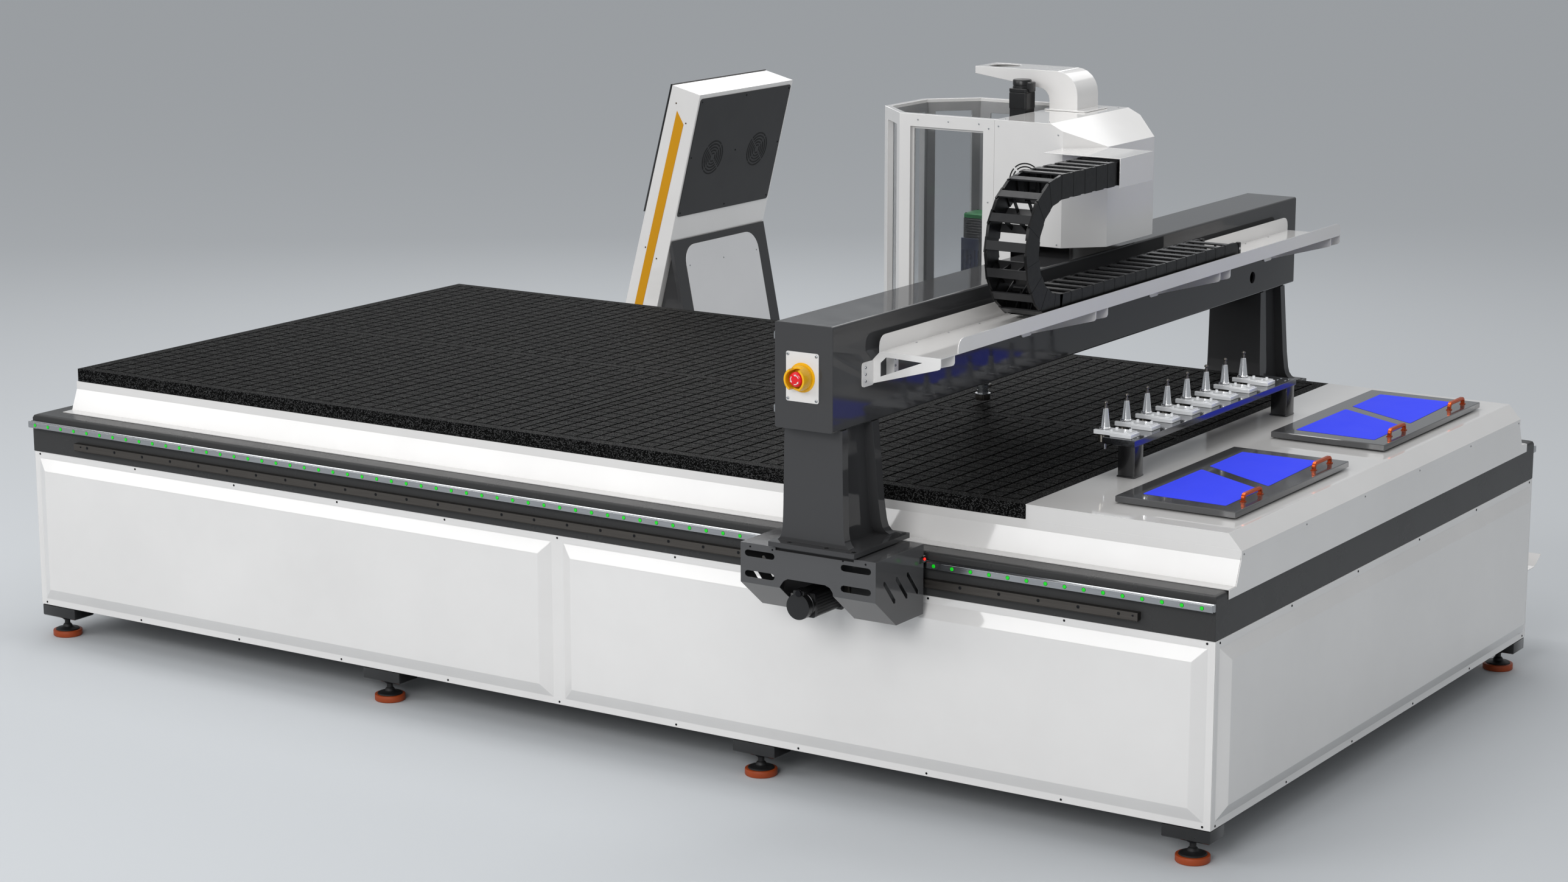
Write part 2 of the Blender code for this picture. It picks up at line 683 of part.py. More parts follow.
def cable_tray():
    """Sheet tray on four brackets along the gantry, which carries the cable chain."""
    t = 0.0025
    x0, x1 = TRAY_X
    z = TRAY_Z
    floor = box("f", (x0, x1), TRAY_Y, (z - t, z))
    wall = prism("w", tray_wall((TRAY_Y[0], TRAY_Y[1]), z - t, 1.4117), "x", x0, x0 + t)
    lip = prism("l", tray_wall((TRAY_Y[0] + 0.0950, TRAY_Y[1]), z - t, 1.4068), "x", x1 - t, x1)
    unite(floor, wall, lip)
    for y in (-0.1170, 0.7980, 1.6450, 2.5070):
        for yy, span in ((y, (y - 0.0580, y + 0.0030)), (y + 0.0750, (y + 0.0750, y + 0.1360))):
            arm = [
                (BEAM_X[1] + 0.0005, 1.2733), (BEAM_X[1] + 0.0005, 1.3403),
                (x0 + 0.001, z - t + 0.001), (x1 - 0.001, z - t + 0.001),
            ]
            arm += [(x1 - 0.0010, 1.3420), (x1 - 0.0040, 1.3352), (x1 - 0.0110, 1.3322)]
            plate = prism("a", arm, "y", yy, yy + 0.0030)
            hole = [
                (BEAM_X[1] + 0.026, 1.2950), (BEAM_X[1] + 0.026, 1.3340), (x0 + 0.022, 1.3520),
                (x1 - 0.060, 1.3480),
            ]
            cut(plate, prism("h", hole, "y", yy - 0.01, yy + 0.02))
            fold = prism(
                "g", rounded(span, (1.2703, 1.3403), 0.008, 2), "x", BEAM_X[1] + 0.0005,
                BEAM_X[1] + 0.0035,
            )
            unite(floor, plate, fold)
    finish(floor, "cable_tray", "white_paint")


def tray_wall(y, low, high, radius=0.030):
    """A wall outline whose two upper corners are rounded."""
    out = [(y[0], low), (y[1], low)]
    radius = min(radius, high - low - 0.004)
    for cx, start in ((y[1] - radius, 0), (y[0] + radius, 90)):
        for k in range(5):
            a = math.radians(start + 90 * k / 4)
            out.append((cx + radius * math.cos(a), high - radius + radius * math.sin(a)))
    return out


def chain_run(name, y, low, pitch):
    """A straight stretch of cable chain: two side bars and a cross bar over and under each link."""
    x0, x1 = CHAIN_X
    high = low + CHAIN_HEIGHT
    side = 0.0120
    left = box("l", (x0, x0 + side), y, (low, high))
    right = box("r", (x1 - side, x1), y, (low, high))
    count = max(2, int(round((y[1] - y[0]) / pitch)))
    step = (y[1] - y[0]) / count
    body = left
    bars = []
    for k in range(count):
        c = y[0] + (k + 0.5) * step
        for z in ((low + 0.002, low + 0.007), (high - 0.007, high - 0.002)):
            bars.append(box("b", (x0 + side - 0.002, x1 - side + 0.002), (c - 0.011, c + 0.011), z))
    unite(body, *bars)
    unite(body, right)
    return body


def chain_loop_body():
    """The bend of the cable chain, from the end of the lower run round to the upper run."""
    x0, x1 = CHAIN_X
    side = 0.0120
    cz = CHAIN_Z + CHAIN_RADIUS
    cy = CHAIN_LOOP_Y
    links = 8
    inner = CHAIN_RADIUS - CHAIN_HEIGHT

    def arc(radius, angles):
        return [(cy - radius * math.sin(a), cz - radius * math.cos(a)) for a in angles]

    angles = [math.pi * k / (links * 2) for k in range(links * 2 + 1)]
    outline = arc(CHAIN_RADIUS, angles) + arc(inner, angles[::-1])
    body = prism("l", outline, "x", x0, x0 + side)
    for k in range(links):
        a = math.pi * (k + 0.5) / links
        for r in (inner + 0.002, CHAIN_RADIUS - 0.009):
            w = 0.011
            d = Vector((-math.sin(a), -math.cos(a)))
            n = Vector((d.y, -d.x))
            c = Vector((cy, cz))
            pts = [
                c + d * r - n * w, c + d * (r + 0.005) - n * w, c + d * (r + 0.005) + n * w,
                c + d * r + n * w,
            ]
            unite(
                body,
                prism("b", [tuple(p) for p in pts], "x", x0 + side - 0.002, x1 - side + 0.002),
            )
    unite(body, prism("r", outline, "x", x1 - side, x1))
    return body


def cable_chain():
    low = CHAIN_Z
    high = CHAIN_Z + 2 * CHAIN_RADIUS - CHAIN_HEIGHT
    lower = chain_run("w", (CHAIN_LOOP_Y + 0.0015, CHAIN_FIXED_Y), low, CHAIN_PITCH)
    end = box(
        "e", CHAIN_X, (CHAIN_FIXED_Y - 0.004, CHAIN_FIXED_Y + 0.010), (low, low + CHAIN_HEIGHT),
    )
    unite(lower, end)
    finish(lower, "chain_lower", "black_plastic")
    finish(
        chain_loop_body(), "chain_loop", "black_plastic",
        (sum(CHAIN_X) / 2, CHAIN_LOOP_Y, CHAIN_Z + CHAIN_RADIUS),
    )
    upper = chain_run("u", (CHAIN_LOOP_Y + 0.0015, CHAIN_END_Y), high, CHAIN_PITCH)
    finish(upper, "chain_upper", "black_plastic")


# ---- head ----
def cross_saddle():
    """Plate on the beam's rails with its bearing blocks, the vertical guides and the motor bracket."""
    y = (HEAD_Y - 0.195, HEAD_Y + 0.195)
    plate = box("p", (3.1400, 3.1720), y, (1.1700, 1.7800))
    for z in (1.2100, 1.4180):
        for yy in (HEAD_Y - 0.185, HEAD_Y + 0.095):
            g = RAIL_HALF + 0.0006
            a = 3.1700
            b = BEAM_X[0] - GAP - RAIL_HEIGHT - 0.0008
            c = BEAM_X[0] - 0.0060
            outline = [
                (a, z - 0.027), (c, z - 0.027), (c, z - g), (b, z - g), (b, z + g), (c, z + g),
                (c, z + 0.027), (a, z + 0.027),
            ]
            unite(plate, prism("k", outline, "y", yy, yy + 0.090))
    for yy in (HEAD_Y - 0.130, HEAD_Y + 0.110):
        unite(plate, box("g", (3.1200, 3.1410), (yy, yy + 0.020), (1.1800, 1.7600)))
    unite(plate, box("m", (3.0400, 3.1720), (HEAD_Y - 0.060, HEAD_Y + 0.060), (1.7790, 1.7980)))
    for yy in (HEAD_Y - 0.150, HEAD_Y + 0.140):
        unite(plate, box("a", (3.1700, 3.4800), (yy, yy + 0.010), (1.5600, 1.7000)))
    finish(plate, "cross_saddle", "grey_paint")


def head_plan(inset):
    """Half plan of the head cover on the beam side, from the front seam round to the back seam."""
    y0 = HEAD_Y - HEAD_HALF + inset
    y1 = HEAD_Y + HEAD_HALF - inset
    x1 = HEAD_X[1] - inset
    c = 0.104
    k = inset * (1 - math.tan(math.radians(22.5)))
    return [
        (COVER_X, y0), (x1 - c + k, y0), (x1, y0 + c - k), (x1, y1 - c + k),
        (x1 - c + k, y1), (COVER_X, y1),
    ]


def head_cover():
    t = 0.0030
    plan = head_plan(0.0)
    shell = prism("s", plan, "z", COVER_BOTTOM, HEAD_TOP)
    wedge = [
        (3.3420, HEAD_TOP), (3.60, HEAD_TOP - 0.1275), (3.60, HEAD_TOP + 0.05),
        (3.3420, HEAD_TOP + 0.05),
    ]
    cut(shell, prism("w", wedge, "y", 0.9, 1.8))
    inside = [(COVER_X - 0.01, p[1]) if abs(p[0] - COVER_X) < 1e-9 else p for p in head_plan(t)]
    core = prism("i", inside, "z", COVER_BOTTOM - 0.01, HEAD_TOP - t)
    lower = [
        (3.3420 - t * 0.5, HEAD_TOP - t), (3.60, HEAD_TOP - 0.1275 - t), (3.60, HEAD_TOP + 0.05),
        (3.3420 - t * 0.5, HEAD_TOP + 0.05),
    ]
    cut(core, prism("w", lower, "y", 0.9, 1.8))
    cut(shell, core)
    for y in (
        (HEAD_Y - HEAD_HALF, HEAD_Y - HEAD_HALF + t), (HEAD_Y + HEAD_HALF - t, HEAD_Y + HEAD_HALF),
    ):
        unite(shell, box("d", (COVER_X, 3.2080), y, (GUARD_BOTTOM, COVER_BOTTOM + 0.002)))
    # box on the side that takes the end of the cable chain
    y0, y1 = 0.9450, 1.1600
    housing = box("h", (3.4750, 3.6430), (y0, y1), (1.7160, 1.8060))
    cut(housing, box("j", (3.4400, 3.6400), (y0 - 0.01, y1 - 0.003), (1.7000, 1.8030)))
    cheek = box("c", (3.3700, 3.4900), (y0, y1), (1.8030, 1.8060))
    cut(cheek, box("x", (3.30, 3.486 - 0.104), (0.9, 1.2), (1.79, 1.82)))
    unite(housing, cheek)
    back = box("k", (3.4500, 3.4900), (y1 - 0.003, y1), (1.7160, 1.8060))
    unite(housing, back)
    # keep only what lies outside the cover's inner faces
    cut(housing, prism("q", inside, "z", 1.70, 1.82))
    unite(shell, housing)
    finish(shell, "head_cover", "white_paint")


def guard_plan(inset, end):
    y0 = HEAD_Y - HEAD_HALF + inset
    y1 = HEAD_Y + HEAD_HALF - inset
    x0 = HEAD_X[0] + inset
    c = HEAD_CHAMFER - inset * (1 - math.tan(math.radians(22.5)))
    return [(end, y0), (x0 + c, y0), (x0, y0 + c), (x0, y1 - c), (x0 + c, y1), (end, y1)]


def guard_frame():
    t = 0.0200
    end = COVER_X - GAP
    frame = prism("g", guard_plan(0.0, end) + guard_plan(t, end)[::-1], "z", GUARD_BOTTOM, HEAD_TOP)
    z = (GUARD_BOTTOM + 0.050, HEAD_TOP - 0.0400)
    x0 = HEAD_X[0]
    cut(frame, box("a", (2.8420, 3.1050), (0.9, 1.8), z))
    cut(frame, box("b", (x0 - 0.1, x0 + 0.1), (HEAD_Y - 0.0950, HEAD_Y + 0.0950), z))
    for sign in (-1, 1):
        c = Vector((x0 + HEAD_CHAMFER / 2, HEAD_Y + sign * (HEAD_HALF - HEAD_CHAMFER / 2)))
        d = Vector((1, sign)).normalized() * 0.062
        n = Vector((-sign * d.y, sign * d.x)).normalized() * 0.040
        pts = [c - d - n, c + d - n, c + d + n, c - d + n]
        cut(frame, prism("c", [tuple(p) for p in pts], "z", *z))
    finish(frame, "guard_frame", "white_paint")
    end = COVER_X - 0.010
    glass = prism(
        "h", guard_plan(t + GAP, end) + guard_plan(t + GAP + 0.004, end)[::-1], "z",
        GUARD_BOTTOM + 0.010, HEAD_TOP - 0.010,
    )
    finish(glass, "guard_glass", "glass")


def z_motor():
    x, y, h = 3.0977, HEAD_Y, 0.0315
    body = prism("m", rounded((x - h, x + h), (y - h, y + h), 0.006, 2), "z", 1.7985, 1.9510)
    cap = lathe("c", [(0.0300, -0.002), (0.0300, 0.0260), (0.0280, 0.0290)], (x, y, 1.9510), 20)
    plug = box("p", (x + 0.010, x + 0.040), (y - 0.016, y + 0.016), (1.9400, 1.9720))
    unite(body, cap, plug)
    finish(body, "z_motor", "black_plastic")


def hose_arm():
    """Bent channel that carries the dust hose over the spindle, with a hole for the hose."""
    y = (1.3730, 1.5130)
    z0 = HEAD_TOP + GAP
    top = [(2.8950, 1.9820), (2.8950, 2.0050), (3.1900, 2.0050)]
    for k in range(1, 6):
        a = math.radians(90 - 90 * k / 6)
        top.append((3.1900 + 0.076 * math.cos(a), 1.9290 + 0.076 * math.sin(a)))
    top += [(3.2660, 1.9290), (3.2660, z0), (3.1660, z0), (3.1660, 1.9100)]
    for k in range(1, 5):
        a = math.radians(90 * k / 4)
        top.append((3.1260 + 0.040 * math.cos(a), 1.9100 + 0.040 * math.sin(a)))
    body = prism("b", top, "y", *y)
    t = 0.0040
    core = [(2.80, 1.90), (2.8990, 1.9000), (2.8990, 2.0050 - t), (3.1900, 2.0050 - t)]
    for k in range(1, 6):
        a = math.radians(90 - 90 * k / 6)
        core.append((3.1900 + 0.072 * math.cos(a), 1.9290 + 0.072 * math.sin(a)))
    core += [
        (3.2620, 1.9290), (3.2620, z0 + 0.004), (3.1700, z0 + 0.004), (3.1000, z0 + 0.004),
        (2.80, z0 + 0.004),
    ]
    cut(body, prism("i", core, "y", y[0] + t, y[1] - t))
    flange = prism(
        "f", rounded((3.1500, 3.3000), (y[0] - 0.010, y[1] + 0.010), 0.010, 2), "z", z0, z0 + 0.004,
    )
    unite(body, flange)
    cut(body, prism("h", circle(2.9650, 1.4430, 0.0520, 20), "z", 1.97, 2.03))
    finish(body, "hose_arm", "white_paint")


def z_plate():
    plate = box("p", (3.0320, 3.0720), (HEAD_Y - 0.150, HEAD_Y + 0.150), (1.1800, 1.5000))
    for yy in (HEAD_Y - 0.120, HEAD_Y + 0.120):
        for z in (1.2000, 1.4000):
            g = 0.0106
            outline = [
                (3.0710, yy - 0.026), (3.1380, yy - 0.026), (3.1380, yy - g), (3.1192, yy - g),
                (3.1192, yy + g), (3.1380, yy + g), (3.1380, yy + 0.026), (3.0710, yy + 0.026),
            ]
            unite(plate, prism("k", outline, "z", z, z + 0.080))
    finish(plate, "z_plate", "grey_paint")


def spindle():
    x, y = SPINDLE_X, HEAD_Y
    body = prism(
        "b", rounded((x - 0.0620, x + 0.0625), (y - 0.0480, y + 0.0480), 0.006, 2), "z", 1.0800,
        1.4640,
    )
    fan = prism(
        "f", rounded((x - 0.0560, x + 0.0560), (y - 0.0440, y + 0.0440), 0.018, 3), "z", 1.4630,
        1.5290,
    )
    cap = prism(
        "c", rounded((x - 0.0500, x + 0.0580), (y - 0.0460, y + 0.0460), 0.012, 3), "z", 1.5280,
        1.5490,
    )
    nose = lathe(
        "n", [(0.0440, 0.0900), (0.0440, 0.0400), (0.0380, 0.0300), (0.0360, 0.0120)],
        (x, y, 0.9920), 24,
    )
    unite(body, fan, cap, nose)
    finish(body, "spindle", "blue_body")
    nut = lathe(
        "r",
        [
            (0.0225, -0.0540), (0.0245, -0.0520), (0.0245, -0.0345), (0.0254, -0.0340),
            (0.0254, -0.0305), (0.0182, -0.0300), (0.0182, -0.0105), (0.0238, -0.0100),
            (0.0238, -0.0020), (0.0200, -0.0010), (0.0200, 0.0185),
        ],
        (x, y, 0.9850), 24,
    )
    finish(nut, "spindle_nose", "steel", (x, y, 0.9850))


# ---- console ----
def console():
    y = CONSOLE_Y
    top = 1.6610
    top_back = 1.6280

    def front_x(z):
        return 0.1319 + 0.26726 * z

    def back_x(z):
        return 0.3031 + 0.25043 * z

    outline = [
        (front_x(0.0), 0.0), (front_x(top), top), (back_x(top_back), top_back), (back_x(0.0), 0.0),
    ]
    body = prism("c", outline, "y", *y)
    t = 0.0030
    inner = [(front_x(0.03) + t, 0.03), (front_x(top) + 0.0022, top - 0.0045)]
    inner += [(back_x(top_back) - 0.0040, top_back - 0.0036), (back_x(0.03) - t, 0.03)]
    cut(body, prism("i", inner, "y", y[0] + t, y[1] - t))
    port = box(
        "d", (front_x(0) + 0.03, front_x(0) + 0.13), (y[0] + 0.20, y[1] - 0.20), (-0.01, 0.04),
    )
    cut(body, port)
    finish(body, "console_body", "white_paint")
    z = (1.1400, 1.6650)
    off = 0.0080
    screen = [(front_x(z[0]) - off, z[0]), (front_x(z[0]) - 0.0006, z[0])]
    screen += [(front_x(z[1]) - 0.0006, z[1]), (front_x(z[1]) - off, z[1])]
    finish(prism("s", screen, "y", y[0] - 0.002, y[1] + 0.002), "console_screen", "screen")
    # rear leg: a leaning panel with two cheeks that reach the body
    rear = [(0.5650, 1.0284), (0.7700, 0.0), (0.7570, 0.0), (0.5535, 0.9950)]
    panel = prism("p", rear, "y", y[0] + 0.003, y[1] - 0.003)
    cheek = [(0.5530, 0.9920), (0.7600, 0.0), (0.3046, 0.0)]
    for yy in (y[0] + 0.030, y[1] - 0.036):
        unite(panel, prism("k", cheek, "y", yy, yy + 0.006))
    finish(panel, "console_stand", "grey_paint")


# ---- build ----
def build():
    clear_scene()
    base_frame()
    panels()
    rail_bed()
    rails_and_racks()
    table_surround()
    mat()
    feet()
    tool_rack()
    tool_holders()
    lids()
    leg("leg_front", 0.0)
    leg("leg_back", LEG_SHIFT)
    carriage_cover("cover_front", -1, 0.0)
    carriage_cover("cover_back", 1, WIDTH)
    drive_motor("drive_motor_front", -1, 0.0)
    drive_motor("drive_motor_back", 1, WIDTH)
    pinion("pinion_front", -1, 0.0)
    pinion("pinion_back", 1, WIDTH)
    beam()
    beam_rails()
    emergency_stop()
    cable_tray()
    cable_chain()
    cross_saddle()
    head_cover()
    guard_frame()
    z_motor()
    hose_arm()
    z_plate()
    spindle()
    console()
    centre_on_origin()


def centre_on_origin():
    bpy.context.view_layer.update()
    low = np.full(3, np.inf)
    high = np.full(3, -np.inf)
    for obj in PARTS:
        for v in obj.data.vertices:
            p = np.array(obj.matrix_world @ v.co)
            low = np.minimum(low, p)
            high = np.maximum(high, p)
    root = bpy.data.objects.new("machine_origin", None)
    bpy.context.scene.collection.objects.link(root)
    for obj in PARTS:
        obj.parent = root
    root.location = (-(low[0] + high[0]) / 2, -(low[1] + high[1]) / 2, 0.0)
    bpy.context.view_layer.update()
    print("offset", tuple(root.location), "low", low, "high", high, "nodes", len(PARTS))


build()
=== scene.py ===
"""The looks of a moving-gantry CNC router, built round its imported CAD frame."""

import math

import bmesh
import bpy
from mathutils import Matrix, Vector


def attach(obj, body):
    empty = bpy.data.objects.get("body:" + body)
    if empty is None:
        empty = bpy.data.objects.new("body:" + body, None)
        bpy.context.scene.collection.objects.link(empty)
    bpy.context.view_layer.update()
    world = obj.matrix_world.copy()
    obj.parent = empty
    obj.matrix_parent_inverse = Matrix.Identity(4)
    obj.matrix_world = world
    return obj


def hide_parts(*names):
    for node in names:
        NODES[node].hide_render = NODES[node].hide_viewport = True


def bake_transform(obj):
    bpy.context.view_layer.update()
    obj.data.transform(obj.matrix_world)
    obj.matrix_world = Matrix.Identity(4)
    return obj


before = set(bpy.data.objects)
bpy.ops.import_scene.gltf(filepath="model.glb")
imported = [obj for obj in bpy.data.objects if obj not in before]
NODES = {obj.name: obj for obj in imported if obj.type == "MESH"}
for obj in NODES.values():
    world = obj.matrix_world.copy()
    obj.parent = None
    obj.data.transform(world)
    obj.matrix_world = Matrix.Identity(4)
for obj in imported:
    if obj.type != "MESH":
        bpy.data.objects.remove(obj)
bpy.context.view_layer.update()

# The machine's front left corner on the floor, from which the positions below are measured.
CORNER = Vector((-2.225, -1.655, 0.0))
LENGTH = 4.45
WIDTH = 2.3806
MAT_X = (0.0795, 3.7762)
MAT_Y = (0.1452, 2.2354)
MAT_Z = (0.8755, 0.9188)
HEAD_Y = 1.318
UP = (0, 0, 1)
CORNERS = ((-1, -1), (-1, 1), (1, -1), (1, 1))


# ---------------------------------------------------------------- materials
def linear(red, green, blue):
    """Display colour, 0 to 255 each, as the linear colour a shader takes."""
    out = []
    for value in (red, green, blue):
        c = value / 255
        out.append(c / 12.92 if c <= 0.04045 else ((c + 0.055) / 1.055) ** 2.4)
    return (*out, 1.0)


class Finish:
    """A Principled material and the nodes that drive its colour, roughness and bump."""

    def __init__(self, name, colour, roughness, metallic=0.0, ior=1.5):
        self.made = bpy.data.materials.new(name)
        self.made.use_nodes = True
        self.tree = self.made.node_tree
        self.shader = self.tree.nodes["Principled BSDF"]
        self.colour = linear(*colour)
        self.roughness = roughness
        self.set("Metallic", metallic)
        self.set("IOR", ior)
        self.set("Base Color", self.colour)
        self.set("Roughness", roughness)
        self.made.diffuse_color = self.colour
        coords = self.node("ShaderNodeTexCoord")
        self.position = coords.outputs["Object"]

    def node(self, kind, **settings):
        made = self.tree.nodes.new(kind)
        for key, value in settings.items():
            setattr(made, key, value)
        return made

    def set(self, socket, value):
        self.shader.inputs[socket].default_value = value

    def link(self, a, b):
        self.tree.links.new(a, b)

    def stretched(self, scale):
        mapping = self.node("ShaderNodeMapping")
        mapping.inputs["Scale"].default_value = scale
        self.link(self.position, mapping.inputs["Vector"])
        return mapping.outputs["Vector"]

    def noise(self, scale, detail=2.0, rough=0.5, vector=None):
        made = self.node("ShaderNodeTexNoise")
        made.inputs["Scale"].default_value = scale
        made.inputs["Detail"].default_value = detail
        made.inputs["Roughness"].default_value = rough
        self.link(vector or self.position, made.inputs["Vector"])
        return made.outputs["Fac"]

    def cells(self, scale):
        made = self.node("ShaderNodeTexVoronoi", feature="F1")
        made.inputs["Scale"].default_value = scale
        self.link(self.position, made.inputs["Vector"])
        return made

    def ramp(self, source, stops):
        made = self.node("ShaderNodeValToRGB")
        band = made.color_ramp
        band.elements[0].position, band.elements[0].color = stops[0]
        band.elements[1].position, band.elements[1].color = stops[-1]
        for position, colour in stops[1:-1]:
            band.elements.new(position).color = colour
        self.link(source, made.inputs["Fac"])
        return made.outputs["Color"]

    def tinted(self, source, low, high):
        """Colour that runs from low to high times the base colour as the source runs 0.3 to 0.7."""
        c = self.colour
        dark = (c[0] * low, c[1] * low, c[2] * low, 1.0)
        light = (min(c[0] * high, 1), min(c[1] * high, 1), min(c[2] * high, 1), 1.0)
        self.link(self.ramp(source, [(0.3, dark), (0.7, light)]), self.shader.inputs["Base Color"])

    def polish(self, source, spread):
        made = self.node("ShaderNodeMapRange")
        made.inputs["From Min"].default_value = 0.3
        made.inputs["From Max"].default_value = 0.7
        made.inputs["To Min"].default_value = max(self.roughness - spread, 0.02)
        made.inputs["To Max"].default_value = min(self.roughness + spread, 1.0)
        self.link(source, made.inputs["Value"])
        self.link(made.outputs["Result"], self.shader.inputs["Roughness"])

    def bump(self, source, strength, distance):
        made = self.node("ShaderNodeBump")
        made.inputs["Strength"].default_value = strength
        made.inputs["Distance"].default_value = distance
        self.link(source, made.inputs["Height"])
        self.link(made.outputs["Normal"], self.shader.inputs["Normal"])
        return made


def paint(name, colour, roughness, coat=0.0, grain=620.0, relief=0.00006, ior=1.5, spread=0.04):
    """Powder coat or sprayed enamel: a fine orange peel, soft mottling and handling marks."""
    made = Finish(name, colour, roughness, ior=ior)
    made.tinted(made.noise(1.7, 4.0, 0.6), 0.965, 1.035)
    made.polish(made.noise(7.0, 5.0, 0.62), spread)
    made.bump(made.noise(grain, 1.0, 0.4), 0.35, relief)
    made.set("Coat Weight", coat)
    made.set("Coat Roughness", 0.06)
    return made.made


def metal(name, colour, roughness, along, fine=900.0, depth=0.00004, spread=0.08, shade=0.1):
    """Ground or turned metal, with marks that run along one axis."""
    made = Finish(name, colour, roughness, metallic=1.0)
    scale = [1.0, 1.0, 1.0]
    if along is not None:
        scale["xyz".index(along)] = 0.02
    marks = made.noise(fine, 3.0, 0.6, made.stretched(scale))
    made.tinted(marks, 1.0 - shade, 1.0 + shade)
    made.polish(made.noise(fine * 0.35, 4.0, 0.65, made.stretched(scale)), spread)
    made.bump(marks, 0.4, depth)
    return made.made


def plastic(name, colour, roughness, grain=1400.0, relief=0.00005, ior=1.46):
    """Moulded plastic or rubber with a fine spark-eroded grain."""
    made = Finish(name, colour, roughness, ior=ior)
    made.tinted(made.noise(9.0, 4.0, 0.6), 0.9, 1.1)
    made.polish(made.noise(60.0, 3.0, 0.6), 0.06)
    made.bump(made.noise(grain, 2.0, 0.6), 0.5, relief)
    return made.made


def granules(name, dark, light, share, size, roughness, relief):
    """Pressed rubber granules: mostly dark grains, some light, each a little proud."""
    made = Finish(name, dark, roughness, ior=1.09)
    grains = made.cells(1.0 / size)
    split = made.node("ShaderNodeSeparateColor")
    made.link(grains.outputs["Color"], split.inputs["Color"])
    low = linear(*dark)
    high = linear(*light)
    black = (low[0] * 0.35, low[1] * 0.35, low[2] * 0.35, 1.0)
    stops = [(0.0, black), (0.45, low), (1.0 - share, low), (1.0 - share * 0.6, high)]
    made.link(made.ramp(split.outputs["Red"], stops), made.shader.inputs["Base Color"])
    made.polish(split.outputs["Green"], 0.14)
    first = made.bump(grains.outputs["Distance"], 0.8, relief)
    second = made.node("ShaderNodeBump")
    second.inputs["Strength"].default_value = 0.6
    second.inputs["Distance"].default_value = relief * 1.5
    made.link(made.noise(180.0, 3.0, 0.6), second.inputs["Height"])
    made.link(second.outputs["Normal"], first.inputs["Normal"])
    return made.made


def pane(name):
    """Clear plastic sheet with faint haze."""
    made = Finish(name, (232, 233, 234), 0.02, ior=1.34)
    made.set("Transmission Weight", 1.0)
    made.polish(made.noise(14.0, 4.0, 0.6), 0.025)
    made.tinted(made.noise(2.0, 2.0, 0.5), 0.96, 1.0)
    return made.made


def glowing(name, colour, strength):
    made = Finish(name, colour, 0.35)
    made.set("Emission Color", made.colour)
    made.set("Emission Strength", strength)
    made.tinted(made.noise(300.0, 2.0, 0.5), 0.85, 1.1)
    made.polish(made.noise(900.0, 2.0, 0.5), 0.1)
    return made.made


WHITE = paint("white_powder_coat", (229, 227, 225), 0.07, coat=0.8, relief=0.00002, spread=0.03)
WHITE_SATIN = paint("white_satin", (222, 220, 218), 0.36, coat=0.1)
GLOSSY = {"grain": 420.0, "relief": 0.00003, "spread": 0.03}
GREY = paint("dark_grey_enamel", (64, 64, 65), 0.06, coat=0.05, ior=1.33, **GLOSSY)
LID_GREY = paint("lid_grey_enamel", (72, 72, 73), 0.1, coat=0.6, ior=1.55, **GLOSSY)
COVER_GREY = paint("cover_grey_enamel", (80, 80, 81), 0.12, coat=0.1, ior=1.4, **GLOSSY)
BAND = paint("band_grey_enamel", (60, 60, 60), 0.26, ior=1.26)
BLACK_PAINT = paint("black_enamel", (16, 16, 17), 0.24, coat=0.4)
MOTOR = paint("motor_black", (19, 19, 20), 0.34, grain=300.0, relief=0.0001)
PANEL_GREY = paint("panel_grey", (212, 212, 213), 0.42)
DARK_PANEL = paint("dark_panel", (47, 47, 48), 0.38, ior=1.35)
AMBER = paint("amber_enamel", (210, 148, 0), 0.44, grain=500.0, ior=1.36)
LID_BLUE = paint("lid_blue", (58, 74, 255), 0.48, grain=420.0, ior=1.14)
SPINDLE_BLUE = paint("spindle_blue", (24, 34, 66), 0.3, coat=0.3)
CAP_TEAL = paint("cap_green", (24, 120, 62), 0.4)
STEEL = metal("ground_rail_steel", (168, 170, 172), 0.2, "x", 700.0)
STEEL_Y = metal("ground_rail_steel_y", (168, 170, 172), 0.2, "y", 700.0)
RACK_STEEL = metal("oiled_rack_steel", (92, 88, 84), 0.42, "x", 500.0, spread=0.1)
GEAR_STEEL = metal("pinion_steel", (120, 116, 110), 0.32, None, 300.0)
POLISHED = metal("polished_tool_steel", (244, 244, 245), 0.17, "z", 900.0, 0.00002, 0.05, 0.05)
ALLOY = metal("machined_alloy", (206, 207, 209), 0.24, "y", 500.0, 0.00001)
BAR_STEEL = metal("rack_bar_steel", (128, 129, 132), 0.13, "y", 500.0, 0.00001, 0.05, 0.05)
PALE_FORK = paint("pale_fork", (244, 245, 246), 0.2, coat=0.6, ior=1.6)
SCREW = metal("zinc_screw", (168, 170, 172), 0.28, None, 1200.0)
SCREW_BLACK = metal("blacked_screw", (42, 42, 44), 0.4, None, 1200.0)
COPPER = metal("copper_handle", (206, 92, 48), 0.3, "y", 700.0, 0.00005)
CHAIN = plastic("chain_nylon", (13, 13, 14), 0.34, 700.0, 0.00008, ior=1.34)
CHAIN_BAR = plastic("chain_bars", (42, 42, 43), 0.34, 700.0, 0.00008, ior=1.34)
SCREW_BROWN = metal("brown_screw", (92, 70, 44), 0.36, None, 1200.0)
# Near-black for holes, counterbores, vent slots and gaps: painted shade laid where the recesses are.
PAINTED_HOLE_SHADE = plastic("painted_recess_shade", (8, 8, 9), 0.7)
RUBBER_BLACK = plastic("black_rubber", (24, 24, 25), 0.55)
RUBBER_ORANGE = plastic("orange_rubber", (158, 66, 24), 0.48, 900.0, 0.0001)
YELLOW = plastic("guard_yellow", (240, 182, 18), 0.26, 1500.0, 0.00002)
RED = plastic("button_red", (226, 20, 34), 0.24, 1500.0, 0.00002)
# The rail caps are no lamps: their faint emission is painted light that keeps them bright green in shade.
GREEN_CAP_PAINTED_GLOW = glowing("green_cap_painted_glow", (0, 205, 26), 0.25)
